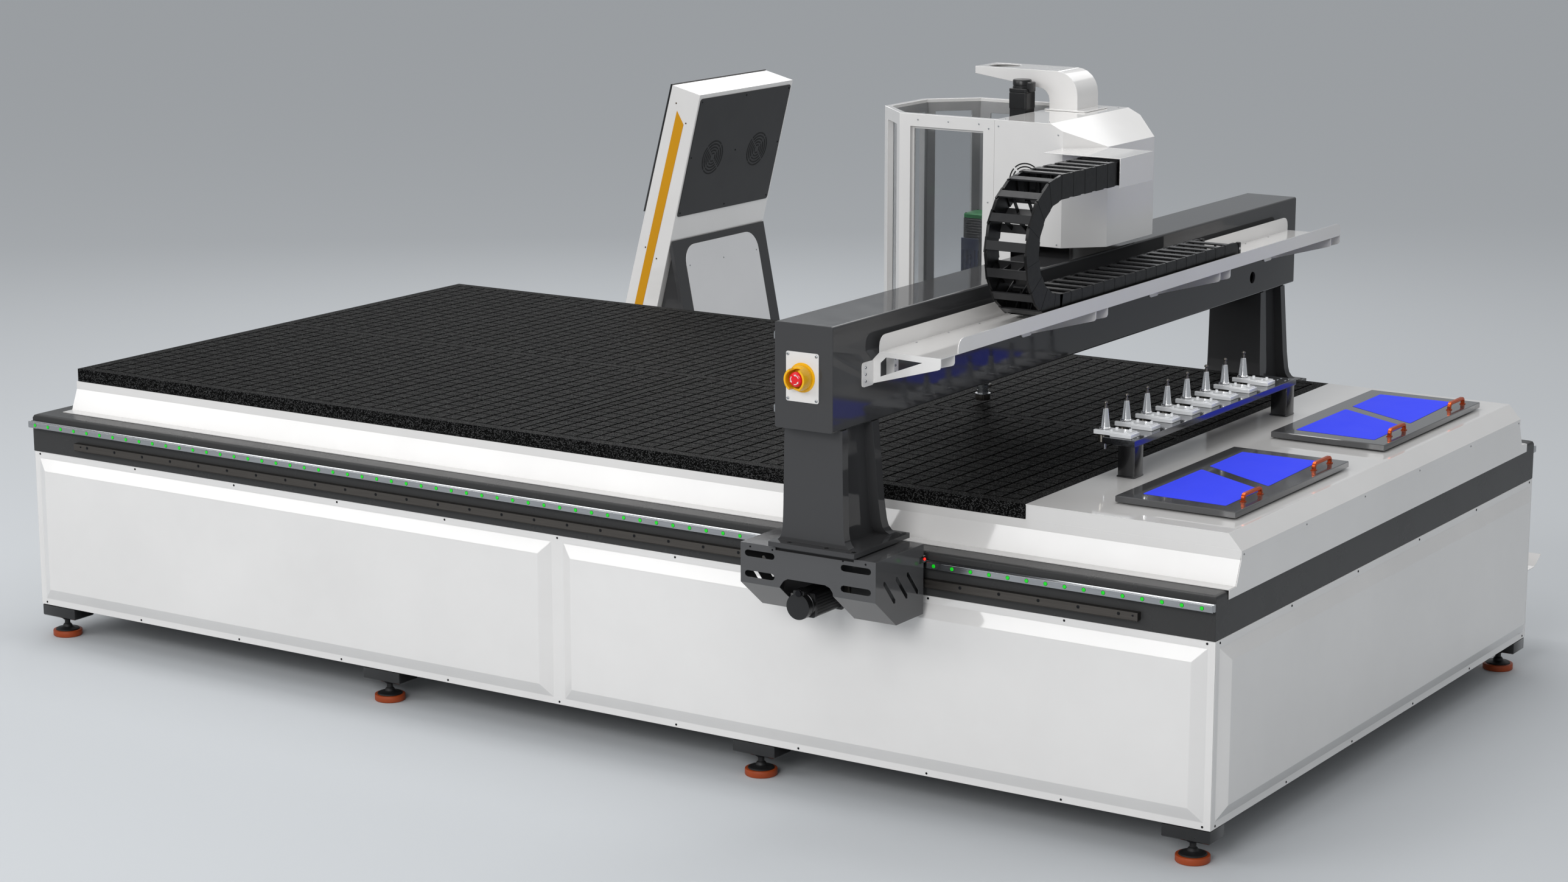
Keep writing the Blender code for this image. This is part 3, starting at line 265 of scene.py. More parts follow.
RED_LIGHT = glowing("red_light", (255, 40, 30), 1.5)
SCREEN = paint("screen_glass", (14, 15, 17), 0.07, coat=1.0, relief=0.00001, spread=0.02)
SCREEN_BLUE = paint("screen_area", (22, 28, 36), 0.1, coat=1.0, relief=0.00001, spread=0.02)
GLASS = pane("clear_pane")
MAT_SIDE = granules("mat_granules", (12, 12, 12), (62, 62, 62), 0.34, 0.0027, 0.62, 0.0009)
MAT_TOP = granules("mat_top", (15, 15, 15), (74, 74, 73), 0.26, 0.0019, 0.6, 0.0004)
# The grooves get darker grains than the mat's top and sides: painted shade in the grooves.
MAT_GROOVE_SHADE = granules("mat_groove_painted_shade", (6, 6, 6), (20, 20, 20), 0.08, 0.003, 0.8, 0.0005)


# ---------------------------------------------------------------- shapes
def rotated(normal):
    """Three axes whose third is the normal."""
    n = Vector(normal).normalized()
    side = Vector(UP) if abs(n.z) < 0.9 else Vector((1, 0, 0))
    a = side.cross(n).normalized()
    return a, n.cross(a), n


def ring(x, y, radius=0.0, steps=3):
    """A rectangle outline, its corners rounded where a radius is given."""
    if radius <= 0:
        return [(x[1], y[1]), (x[0], y[1]), (x[0], y[0]), (x[1], y[0])]
    out = []
    for cx, cy, start in ((x[1], y[1], 0), (x[0], y[1], 90), (x[0], y[0], 180), (x[1], y[0], 270)):
        ox = cx - math.copysign(radius, cx - (x[0] + x[1]) / 2)
        oy = cy - math.copysign(radius, cy - (y[0] + y[1]) / 2)
        for k in range(steps + 1):
            a = math.radians(start + 90 * k / steps)
            out.append((ox + radius * math.cos(a), oy + radius * math.sin(a)))
    return out


def circle(radius, steps):
    """Points on a circle about the origin."""
    turn = 2 * math.pi / steps
    return [(radius * math.cos(turn * k), radius * math.sin(turn * k)) for k in range(steps)]


def place(pair, axis, value):
    """The point whose coordinate on one axis is the value, and whose others are the pair."""
    out = list(pair)
    out.insert("xyz".index(axis), value)
    return tuple(out)


class Shape:
    """Collects the closed bodies that make one visible piece."""

    def __init__(self):
        self.points = []
        self.faces = []
        self.paints = []

    def put(self, points, faces, paint_index=0):
        base = len(self.points)
        self.points += [tuple(p) for p in points]
        self.faces += [tuple(base + i for i in face) for face in faces]
        self.paints += [paint_index] * len(faces)

    def loft(self, loops, paint_index=0, wrap=False):
        """A skin over loops of equally many points, closed by flat ends or back to the first loop."""
        count = len(loops[0])
        points = [p for loop in loops for p in loop]
        sides = []
        for k in range(len(loops) if wrap else len(loops) - 1):
            a = k * count
            b = ((k + 1) % len(loops)) * count
            sides += [(a + i, a + (i + 1) % count, b + (i + 1) % count, b + i) for i in range(count)]
        base = len(self.points)
        self.put(points, sides, paint_index)
        if not wrap:
            for start in (base, base + (len(loops) - 1) * count):
                self.faces.append(tuple(range(start, start + count)))
                self.paints.append(paint_index)

    def prism(self, outline, axis, low, high, paint_index=0, edge=0.0):
        """An outline drawn out along an axis, its end edges chamfered where an edge is given."""
        rims = [(outline, low), (outline, high)]
        if edge > 0:
            small = inset(outline, edge)
            rims = [(small, low), (outline, low + edge), (outline, high - edge), (small, high)]
        self.loft([[place(p, axis, v) for p in rim] for rim, v in rims], paint_index)

    def box(self, x, y, z, paint_index=0, edge=0.0):
        self.prism(ring(x, y, edge, 2), "z", *z, paint_index, edge)

    def turned(self, profile, centre, normal=UP, steps=24, paint_index=0):
        """Profile points are (radius, height) along the normal."""
        a, b, n = rotated(normal)
        c = Vector(centre)
        loops = [[c + a * x + b * y + n * h for x, y in circle(r, steps)] for r, h in profile]
        self.loft(loops, paint_index)

    def screw(self, centre, normal=UP, radius=0.004, height=None, paint_index=0, steps=12):
        """A domed head with a hollow driving socket."""
        h = radius * 0.62 if height is None else height
        profile = [
            (radius * 0.98, -0.0006), (radius, h * 0.25), (radius * 0.86, h * 0.75), (radius * 0.6, h),
            (radius * 0.46, h), (radius * 0.44, h * 0.35), (radius * 0.05, h * 0.3),
        ]
        self.turned(profile, centre, normal, steps, paint_index)

    def cap_screw(self, centre, normal=UP, radius=0.006, height=0.006, paint_index=0, steps=16):
        """A cylindrical head with a chamfer and a hexagonal socket."""
        profile = [
            (radius * 0.98, -0.0006), (radius, 0.0), (radius, height * 0.85), (radius * 0.9, height),
            (radius * 0.56, height), (radius * 0.5, height * 0.45), (radius * 0.05, height * 0.4),
        ]
        self.turned(profile, centre, normal, steps, paint_index)

    def piece(self, name, body, paints, slot=None, stands_for=()):
        """Makes the object, creased at 32 degrees, hides the CAD nodes that it stands for and hangs it on
        the body that it rides.
        """
        mesh = bpy.data.meshes.new(name)
        mesh.from_pydata([tuple(Vector(p) + CORNER) for p in self.points], [], self.faces)
        for material in paints:
            mesh.materials.append(material)
        mesh.polygons.foreach_set("material_index", self.paints)
        mesh.polygons.foreach_set("use_smooth", [True] * len(self.faces))
        obj = bpy.data.objects.new(name, mesh)
        bpy.context.scene.collection.objects.link(obj)
        made = bmesh.new()
        made.from_mesh(mesh)
        bmesh.ops.recalc_face_normals(made, faces=made.faces)
        for edge in made.edges:
            sharp = len(edge.link_faces) != 2 or edge.calc_face_angle(0.0) > math.radians(32)
            edge.smooth = not sharp
        made.to_mesh(mesh)
        made.free()
        if stands_for:
            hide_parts(*stands_for)
        if body:
            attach(obj, body)
        return obj


def inset(outline, amount):
    """The outline moved inwards by the amount."""
    count = len(outline)
    area = sum(
        outline[k][0] * outline[(k + 1) % count][1] - outline[(k + 1) % count][0] * outline[k][1]
        for k in range(count)
    )
    turn = 1 if area > 0 else -1
    out = []
    for k in range(count):
        p = Vector(outline[k])
        a = (p - Vector(outline[k - 1])).normalized()
        b = (Vector(outline[(k + 1) % count]) - p).normalized()
        na = Vector((-a.y, a.x)) * turn
        nb = Vector((-b.y, b.x)) * turn
        n = na + nb
        out.append(tuple(p + n * (amount / max(n.dot(na), 0.2))))
    return out


def dress(node, material, bevel, angle):
    """A CAD node keeps its shape: it gets its material, joined faces and softened edges."""
    obj = NODES[node]
    obj.data.materials.clear()
    obj.data.materials.append(material)
    obj.data.polygons.foreach_set("material_index", [0] * len(obj.data.polygons))
    if "custom_normal" in obj.data.attributes:
        obj.data.attributes.remove(obj.data.attributes["custom_normal"])
    obj.data.polygons.foreach_set("use_smooth", [True] * len(obj.data.polygons))
    weld = obj.modifiers.new("weld", "WELD")
    weld.merge_threshold = 0.00002
    flat = obj.modifiers.new("flat", "DECIMATE")
    flat.decimate_type = "DISSOLVE"
    flat.angle_limit = math.radians(0.4)
    rounding = obj.modifiers.new("rounding", "BEVEL")
    rounding.width = bevel
    rounding.segments = 2
    rounding.limit_method = "ANGLE"
    rounding.angle_limit = math.radians(angle)
    rounding.harden_normals = True
    rounding.use_clamp_overlap = True
    even = obj.modifiers.new("even", "WEIGHTED_NORMAL")
    even.keep_sharp = True


def dressed_nodes():
    """The CAD nodes that keep their shape: names, material, bevel and the angle that it starts from."""
    table = (
        ("base_frame panel_front panel_back panel_left panel_right", WHITE, 0.0012, 15),
        ("table_surround", WHITE, 0.001, 15),
        ("rail_bed", BAND, 0.001, 24),
        ("rail_front rail_back", STEEL, 0.0004, 24),
        ("beam_rail_lower beam_rail_upper", STEEL_Y, 0.0004, 24),
        ("beam", GREY, 0.002, 24),
        ("leg_front leg_back console_stand", GREY, 0.0016, 24),
        ("cover_front cover_back", COVER_GREY, 0.0016, 24),
        ("cross_saddle z_plate", GREY, 0.001, 24),
        ("cable_tray", WHITE, 0.0005, 24),
        ("head_cover hose_arm", WHITE, 0.0008, 24),
        ("guard_frame", WHITE, 0.001, 24),
        ("guard_glass", GLASS, 0.0002, 24),
        ("console_body", WHITE, 0.0016, 24),
        ("console_screen", SCREEN, 0.0016, 24),
    )
    for nodes, material, bevel, angle in table:
        for node in nodes.split():
            dress(node, material, bevel, angle)


# ---------------------------------------------------------------- base
def rail_caps():
    """Green caps over the bolts of both long rails."""
    for side, face, out in (("front", -0.0225, -1), ("back", WIDTH + 0.0225, 1)):
        caps = Shape()
        for k in range(74):
            at = (0.035 + 0.06 * k, face, 0.745)
            caps.turned([(0.0064, -0.0004), (0.0064, 0.0001), (0.0058, 0.0004)], at, (0, out, 0), 16, 1)
            profile = [(0.0055, -0.0004), (0.0055, 0.0008), (0.0048, 0.0013), (0.001, 0.0014)]
            # The caps' faint glow is painted light, not a lamp.
            caps.turned(profile, at, (0, out, 0), 16, 0)
        caps.piece("rail_caps_" + side, "base", [GREEN_CAP_PAINTED_GLOW, SCREW_BLACK])


def racks():
    """Straight-cut gear racks with their bolts, teeth pointing down."""
    pitch = 0.0047124
    x0, x1 = 0.2103, 4.2209
    count = int((x1 - x0) / pitch)
    start = x0 + ((x1 - x0) - count * pitch) / 2
    for side, face, out in (("front", -0.0005, -1), ("back", WIDTH + 0.0005, 1)):
        outer = face + out * 0.0195
        rack = Shape()
        edge = [(x0, 0.6802)]
        for k in range(count):
            x = start + k * pitch
            edge += [(x + 0.0006, 0.6802), (x + 0.0018, 0.6768), (x + 0.0029, 0.6768), (x + 0.0041, 0.6802)]
        edge.append((x1, 0.6802))
        loops = []
        for x, z in edge:
            loops.append([(x, face, z), (x, face, 0.702), (x, outer, 0.702), (x, outer, z)])
        rack.loft(loops, 0)

        def bolt(x, radius, lip, height, steps, paint_index):
            profile = [(radius, -0.0003), (radius, height - 0.0003), (radius - lip, height)]
            rack.turned(profile, (x, outer, 0.693), (0, out, 0), steps, paint_index)

        x = 0.272
        while x < 4.19:
            # A dark disc under each bolt: painted shade of the bolt's counterbore.
            shaded_counterbore = [(0.0052, -0.0003), (0.0052, 0.0002), (0.0046, 0.0003)]
            rack.turned(shaded_counterbore, (x, outer, 0.693), (0, out, 0), 14, 1)
            bolt(x, 0.0036, 0.0008, 0.0012, 12, 2)
            x += 0.1255
        for x in (0.242, 4.206):
            bolt(x, 0.003, 0.0006, 0.0011, 12, 2)
        rack.piece(
            "gear_rack_" + side, "base", [RACK_STEEL, PAINTED_HOLE_SHADE, SCREW_BLACK], "rack_steel", ["rack_" + side],
        )


def panel_screws():
    """Small screws along the flanges of the four panels and the ends of the skirts."""
    heads = Shape()
    for face, out in ((0.0025, -1), (WIDTH - 0.0025, 1)):
        for z in (0.6407, 0.1187):
            x = 0.028
            while x < LENGTH:
                heads.screw((x, face, z), (0, out, 0), 0.0036, 0.0016, 0)
                x += 0.4394
    for x, out in ((0.0025, -1), (LENGTH - 0.0025, 1)):
        for z in (0.6407, 0.1187):
            for k in range(6):
                heads.screw((x, 0.03 + k * 0.4641, z), (out, 0, 0), 0.0036, 0.0016, 0)
    for k in range(6):
        heads.screw((LENGTH, 0.16 + k * 0.4121, 0.862), (1, 0, 0), 0.003, 0.0014, 1)
    heads.piece("panel_screws", "base", [SCREW_BLACK, SCREW])


def mat():
    """Thick pressed mat, its top cut into eight fields of square pads by narrow grooves."""
    cell_x, cell_y, part = 0.0588, 0.0577, 0.037
    x = MAT_X[0] + 0.0431
    fields_x = []
    for kind in (0, 1, 2, 3):
        if kind in (0, 3):
            lines = [x + cell_x * k for k in range(16)]
        elif kind == 1:
            lines = [x + cell_x * k for k in range(15)] + [x + cell_x * 14 + part]
        else:
            lines = [x] + [x + part + cell_x * k for k in range(15)]
        fields_x.append(lines)
        x = lines[-1] + 0.042
    y = MAT_Y[0] + 0.0422
    fields_y = []
    for _ in range(2):
        lines = [y + cell_y * k for k in range(18)]
        fields_y.append(lines)
        y = lines[-1] + 0.044

    def steps(low, high, fields, half):
        """Intervals as (start, end, is a groove, lies in a field)."""
        out = []
        at = low
        for lines in fields:
            for k, g in enumerate(lines):
                out.append((at, g - half, False, k > 0))
                out.append((g - half, g + half, True, True))
                at = g + half
        out.append((at, high, False, False))
        return out

    xs = steps(MAT_X[0], MAT_X[1], fields_x, 0.0036)
    ys = steps(MAT_Y[0], MAT_Y[1], fields_y, 0.0028)
    top, low, bottom = MAT_Z[1], MAT_Z[1] - 0.0085, MAT_Z[0]
    points, index, faces, paints = [], {}, [], []

    def point(i, j, z):
        key = (i, j, z)
        if key not in index:
            px = xs[i][0] if i < len(xs) else xs[-1][1]
            py = ys[j][0] if j < len(ys) else ys[-1][1]
            index[key] = len(points)
            points.append((px, py, z))
        return index[key]

    def level(i, j):
        if i < 0 or j < 0 or i >= len(xs) or j >= len(ys):
            return bottom
        groove = (xs[i][2] and ys[j][3]) or (ys[j][2] and xs[i][3])
        return low if groove else top

    # Groove floors and walls take paint 2, the darker groove material: painted shade.
    for i in range(len(xs)):
        for j in range(len(ys)):
            h = level(i, j)
            faces.append((point(i, j, h), point(i + 1, j, h), point(i + 1, j + 1, h), point(i, j + 1, h)))
            paints.append(1 if h == top else 2)
    for i in range(len(xs) + 1):
        for j in range(len(ys)):
            a, b = level(i - 1, j), level(i, j)
            if a != b:
                faces.append((point(i, j, a), point(i, j + 1, a), point(i, j + 1, b), point(i, j, b)))
                paints.append(0 if bottom in (a, b) else 2)
    for j in range(len(ys) + 1):
        for i in range(len(xs)):
            a, b = level(i, j - 1), level(i, j)
            if a != b:
                faces.append((point(i, j, a), point(i, j, b), point(i + 1, j, b), point(i + 1, j, a)))
                paints.append(0 if bottom in (a, b) else 2)
    rim = [point(i, 0, bottom) for i in range(len(xs))]
    rim += [point(len(xs), j, bottom) for j in range(len(ys))]
    rim += [point(i, len(ys), bottom) for i in range(len(xs), 0, -1)]
    rim += [point(0, j, bottom) for j in range(len(ys), 0, -1)]
    faces.append(tuple(rim))
    paints.append(0)
    work = Shape()
    work.points, work.faces, work.paints = points, faces, paints
    work.piece("work_mat", "base", [MAT_SIDE, MAT_TOP, MAT_GROOVE_SHADE], "mat_black", ["mat"])


def feet():
    """Orange pads, black domes and the blocks that they screw into."""
    number = 0
    for y in (0.0466, WIDTH - 0.0466):
        for x in (0.0753, 1.5094, 2.9432, 4.3747):
            number += 1
            foot = Shape()
            pad = [
                (0.045, 0.0), (0.0484, 0.0008), (0.0495, 0.003), (0.0495, 0.018), (0.0488, 0.0198),
                (0.047, 0.0206), (0.041, 0.0208),
            ]
            foot.turned(pad, (x, y, 0.0), UP, 40, 0)
            dome = [
                (0.0405, 0.02), (0.0405, 0.0222), (0.038, 0.0246), (0.03, 0.0262), (0.021, 0.0276),
                (0.0165, 0.031), (0.015, 0.0365), (0.012, 0.04), (0.0095, 0.0415), (0.0095, 0.07),
            ]
            foot.turned(dome, (x, y, 0.0), UP, 32, 1)
            nut = [(0.0165, 0.056), (0.0172, 0.0568), (0.0172, 0.0672), (0.0165, 0.068)]
            foot.turned(nut, (x, y, 0.0), UP, 6, 2)
            x0 = min(max(x - 0.075, 0.004), LENGTH - 0.154)
            y0 = 0.004 if y < 1 else WIDTH - 0.096
            foot.box((x0, x0 + 0.15), (y0, y0 + 0.092), (0.0692, 0.109), 3, 0.003)
            paints = [RUBBER_ORANGE, RUBBER_BLACK, SCREW_BLACK, BLACK_PAINT]
            foot.piece("levelling_foot_%d" % number, "base", paints, "foot_rubber", ["foot_%d" % number])


# ---------------------------------------------------------------- deck fittings
HOLDER_X = 3.7707
HOLDER_PITCH = 0.1341


def holder_y(k):
    return 0.6354 + HOLDER_PITCH * k


def tool_rack():
    """A bar with eight scallops, on two posts, with a fork over each scallop."""
    x = (3.784, 3.8907)
    y = (0.5914, 1.715)
    z = (1.014, 1.033)
    r = 0.0255
    reach = math.sqrt(r * r - (x[0] - HOLDER_X) ** 2)
    lean = math.atan2(reach, x[0] - HOLDER_X)
    outline = [(x[1], y[0]), (x[1], y[1]), (x[0], y[1])]
    for k in reversed(range(8)):
        for n in range(9):
            a = lean - 2 * lean * n / 8
            outline.append((HOLDER_X + r * math.cos(a), holder_y(k) + r * math.sin(a)))
    outline.append((x[0], y[0]))
    rack = Shape()
    rack.prism(outline, "z", z[0], z[1], 0, 0.0008)
    for post in (0.5975, 1.6525):
        rack.box((3.834, 3.889), (post, post + 0.055), (0.9195, 1.0145), 1, 0.0014)
        rack.box((3.8312, 3.8898), (post - 0.0028, post + 0.0578), (0.9194, 0.9238), 1, 0.001)
        for dx, dy in ((0.014, 0.014), (0.041, 0.014), (0.014, 0.041), (0.041, 0.041)):
            rack.cap_screw((3.834 + dx, post + dy, 1.033), UP, 0.0042, 0.0012, 3)
    for k in range(8):
        c = holder_y(k)
        rack.box((3.8, 3.87), (c - 0.028, c + 0.028), (1.0332, 1.0455), 2, 0.0012)
        arms = [(3.744, c - 0.0235), (3.7465, c - 0.026), (3.8625, c - 0.026), (3.865, c - 0.0235)]
        arms += [(3.865, c + 0.0235), (3.8625, c + 0.026), (3.7465, c + 0.026), (3.744, c + 0.0235)]
        arms += [(3.744, c + 0.015), (3.747, c + 0.013), (HOLDER_X - 0.0075, c + 0.013)]
        for n in range(11):
            a = math.radians(120 - 240 * n / 10)
            arms.append((HOLDER_X + 0.015 * math.cos(a), c + 0.015 * math.sin(a)))
        arms += [(HOLDER_X - 0.0075, c - 0.013), (3.747, c - 0.013), (3.744, c - 0.015)]
        rack.prism(arms, "z", 1.0362, 1.049, 2, 0.001)
        for dx, dy in ((0.04, -0.018), (0.04, 0.018), (0.085, -0.018), (0.085, 0.018)):
            rack.cap_screw((3.76 + dx, c + dy, 1.049), UP, 0.0045, 0.0046, 2)
    paints = [BAR_STEEL, BLACK_PAINT, PALE_FORK, SCREW]
    rack.piece("tool_bar", "base", paints, "machined_alloy", ["tool_rack"])


def fluted_nut(shape, centre, levels, depth, flutes, paint_index):
    """A nut with shallow grooves for a spanner; levels are (radius, height)."""
    steps = flutes * 4
    loops = []
    for radius, h in levels:
        loop = []
        for k in range(steps):
            r = radius - (depth if k % 4 == 0 else 0.0)
            a = 2 * math.pi * k / steps
            loop.append(centre + Vector((r * math.cos(a), r * math.sin(a), h)))
        loops.append(loop)
    shape.loft(loops, paint_index)


def tool_holders():
    """Steep tapers with a pull stud above, a nut and a cutter below."""
    for k in range(8):
        c = Vector((HOLDER_X, holder_y(k), 1.0495))
        tool = Shape()
        cone = [
            (0.012, -0.0142), (0.0124, -0.012), (0.0124, 0.0002), (0.016, 0.0006), (0.0165, 0.0012),
            (0.0165, 0.0019), (0.0146, 0.0026), (0.0146, 0.0032), (0.0165, 0.004), (0.0165, 0.0048),
            (0.0158, 0.0054), (0.0138, 0.006), (0.0137, 0.0064), (0.0078, 0.0608), (0.007, 0.0618),
        ]
        tool.turned(cone, c, UP, 32, 0)
        stud = [
            (0.0052, 0.0614), (0.0045, 0.0625), (0.0045, 0.07), (0.0034, 0.0712), (0.0034, 0.0745),
            (0.0058, 0.0762), (0.006, 0.0775), (0.006, 0.0795), (0.005, 0.0812), (0.0034, 0.0828),
        ]
        tool.turned(stud, c, UP, 24, 1)
        levels = ((0.0192, -0.0394), (0.0216, -0.037), (0.0216, -0.017), (0.0196, -0.015))
        fluted_nut(tool, c, levels, 0.0018, 8, 1)
        tool.turned([(0.013, -0.0156), (0.0126, -0.0138)], c, UP, 24, 1)
        bit = [(0.0049, -0.0392), (0.0049, -0.046), (0.0042, -0.0464), (0.0042, -0.06), (0.003, -0.0618)]
        tool.turned(bit, c, UP, 14, 2)
        name = "holder_%d" % (k + 1)
        tool.piece(name, "base", [POLISHED, GEAR_STEEL, SCREW], "bright_steel", ["tool_" + name])


def lids():
    """Two covers with two blue fields each, hinge pins and copper handles."""
    x = (3.985, 4.36)
    z = (0.923, 0.9423)
    spans = {"front": (0.29, 1.066), "rear": (1.329, 2.105)}
    blue = (
        ((4.0423, 0.3502), (4.043, 0.7258), (4.3026, 0.5782), (4.3046, 0.3445)),
        ((4.0439, 0.7783), (4.0407, 1.0072), (4.289, 1.0142), (4.3009, 0.6312)),
    )
    for name, y in spans.items():
        shift = y[0] - 0.29
        lid = Shape()
        lid.box(x, y, z, 0, 0.0022)
        for corners in blue:
            plate = softened([(px, py + shift) for px, py in corners], 0.006)
            # A dark rim a little wider than each blue field: painted shade, a shadow line drawn round the
            # field's edge.
            lid.prism(inset(plate, -0.0012), "z", z[1] - 0.0008, z[1] + 0.00012, 2)
            lid.prism(plate, "z", z[1] - 0.0006, z[1] + 0.0009, 1, 0.0004)
        for t in (0.18, 0.82):
            mid = y[0] + (y[1] - y[0]) * t
            for n in range(3):
                a = mid - 0.0248 + n * 0.0168
                pin = [(0.0045, 0.0), (0.005, 0.0006), (0.005, 0.0154), (0.0045, 0.016)]
                lid.turned(pin, (x[0] - 0.003, a, z[0] + 0.008), (0, 1, 0), 16, 3)
        for t in (0.232, 0.85):
            mid = y[0] + (y[1] - y[0]) * t
            arch_handle(lid, mid, z[1], 4)
        paints = [LID_GREY, LID_BLUE, PAINTED_HOLE_SHADE, SCREW_BLACK, COPPER]
        lid.piece("lid_cover_" + name, "lid_%s_body" % name, paints, "lid_blue", ["lid_" + name])


def softened(outline, radius):
    """The outline with each corner rounded."""
    out = []
    count = len(outline)
    for k in range(count):
        p = Vector(outline[k])
        a = (Vector(outline[k - 1]) - p).normalized()
        b = (Vector(outline[(k + 1) % count]) - p).normalized()
        half = math.acos(max(-1.0, min(1.0, a.dot(b)))) / 2
        back = radius / math.tan(half)
        start = p + a * back
        end = p + b * back
        for n in range(5):
            t = n / 4
            out.append(tuple(start * (1 - t) ** 2 + p * 2 * t * (1 - t) + end * t * t))
    return out


def arch_handle(shape, mid, base, paint_index):
    """A bridge handle of flat bar, its top corners bent round."""
    half, tall, thick = 0.061, 0.025, 0.009

    def bend(sign, back, radius):
        turn = []
        for n in range(7):
            a = math.radians(15 * n)
            across = half - back + radius * math.cos(a)
            turn.append((mid + sign * across, base + tall - back + radius * math.sin(a)))
        return turn

    outer, inner = [], []
    for sign in (-1, 1):
        foot = base - 0.0005
        out = [(mid + sign * half, foot)] + bend(sign, 0.016, 0.016)
        small = [(mid + sign * (half - thick), foot)] + bend(sign, 0.0165, 0.007)
        outer += out[::-sign]
        inner += small[::-sign]
    shape.prism(outer + inner[::-1], "x", 4.3182, 4.33, paint_index, 0.0016)
    for sign in (-1, 1):
        c = mid + sign * (half - thick / 2)
        pad = ring((c - 0.0072, c + 0.0072), (base - 0.0003, base + 0.003))
        shape.prism(pad, "x", 4.3165, 4.3317, paint_index, 0.0008)


# ---------------------------------------------------------------- gantry
MOTOR_X = 3.2945
MOTOR_Z = 0.6466
SIDES = (("front", -1, 0.0), ("back", 1, WIDTH))


def drive_motors():
    """Gearbox, ribbed motor, round brake cap and connector on the outside of each leg."""
    for name, out, edge in SIDES:
        normal = (0, out, 0)
        motor = Shape()
        slabs = (
            (0.042, 0.0805, 0.09, 1, 0.006), (0.0385, 0.0895, 0.118, 1, 0.01),
            (0.042, 0.1175, 0.126, 0, 0.006), (0.0352, 0.1255, 0.262, 0, 0.007),
            (0.036, 0.1255, 0.134, 0, 0.007), (0.036, 0.25, 0.264, 0, 0.007),
        )
        for half, near, far, paint_index, radius in slabs:
            outline = ring((MOTOR_X - half, MOTOR_X + half), (MOTOR_Z - half, MOTOR_Z + half), radius, 4)
            y = sorted((edge + out * near, edge + out * far))
            motor.prism(outline, "y", *y, paint_index, 0.0008)
        for k in range(7):
            at = -0.0264 + 0.0088 * k
            long = sorted((edge + out * 0.133, edge + out * 0.251))
            for sign in (-1, 1):
                near = sorted((MOTOR_X + sign * 0.0345, MOTOR_X + sign * 0.036))
                motor.box(near, long, (MOTOR_Z + at - 0.003, MOTOR_Z + at + 0.003), 0, 0.0005)
                high = sorted((MOTOR_Z + sign * 0.0345, MOTOR_Z + sign * 0.036))
                motor.box((MOTOR_X + at - 0.003, MOTOR_X + at + 0.003), long, high, 0, 0.0005)
        cap = [
            (0.034, 0.178), (0.038, 0.18), (0.038, 0.193), (0.0362, 0.1942), (0.0362, 0.1966),
            (0.038, 0.1978), (0.038, 0.215), (0.0377, 0.218), (0.03, 0.219), (0.012, 0.2192),
        ]
        motor.turned(cap, (MOTOR_X, edge + out * 0.0805, MOTOR_Z), normal, 40, 0)
        y = sorted((edge + out * 0.247, edge + out * 0.295))
        motor.box((MOTOR_X - 0.018, MOTOR_X + 0.018), y, (MOTOR_Z + 0.033, MOTOR_Z + 0.046), 0, 0.002)
        plug = [(0.0105, 0.0), (0.0105, 0.003), (0.0094, 0.0034), (0.0094, 0.009), (0.008, 0.0095)]
        motor.turned(plug, (MOTOR_X + 0.004, edge + out * 0.294, MOTOR_Z + 0.04), normal, 20, 2)
        for sx, sz in CORNERS:
            c = (MOTOR_X + sx * 0.0345, edge + out * 0.0895, MOTOR_Z + sz * 0.0345)
            motor.turned([(0.004, 0.0), (0.004, 0.005), (0.003, 0.0056)], c, normal, 12, 2)
        shaft = [(0.015, 0.0815), (0.015, 0.079), (0.0105, 0.0785), (0.0105, 0.036), (0.0095, 0.035)]
        motor.turned(shaft, (MOTOR_X, edge, MOTOR_Z), normal, 24, 1)
        paints = [MOTOR, GEAR_STEEL, SCREW_BLACK]
        motor.piece("servo_motor_" + name, "gantry", paints, "motor_black", ["drive_motor_" + name])


def pinions():
    """Forty-tooth gears with a hub, which run on the racks."""
    teeth = 40
    for name, out, edge in SIDES:
        gear = Shape()
        outline = []
        for k in range(teeth):
            a = 2 * math.pi * k / teeth
            for r, t in ((0.0268, 0.0), (0.0272, 0.3), (0.0294, 0.48), (0.0294, 0.72), (0.0272, 0.92)):
                b = a + t * 2 * math.pi / teeth
                outline.append((MOTOR_X + r * math.cos(b), MOTOR_Z + r * math.sin(b)))
        y = sorted((edge + out * 0.0032, edge + out * 0.0213))
        loops = [[(px, v, pz) for px, pz in outline] for v in y]
        gear.loft(loops, 0)
        hub = [
            (0.0225, 0.0212), (0.0222, 0.0222), (0.016, 0.0226), (0.016, 0.0335), (0.0152, 0.0343),
            (0.0095, 0.0344),
        ]
        gear.turned(hub, (MOTOR_X, edge, MOTOR_Z), (0, out, 0), 32, 0)
        # Three dark discs on the hub: painted shade in place of its screw holes.
        for k in range(3):
            a = 2 * math.pi * k / 3
            side = Vector((math.cos(a), 0, math.sin(a)))
            c = Vector((MOTOR_X, edge + out * 0.0285, MOTOR_Z)) + side * 0.0156
            gear.turned([(0.0026, 0.0), (0.0026, 0.0006), (0.0012, 0.0007)], c, side, 10, 1)
        body = "pinion_%s_body" % name
        gear.piece("pinion_gear_" + name, body, [GEAR_STEEL, PAINTED_HOLE_SHADE], "rack_steel", ["pinion_" + name])


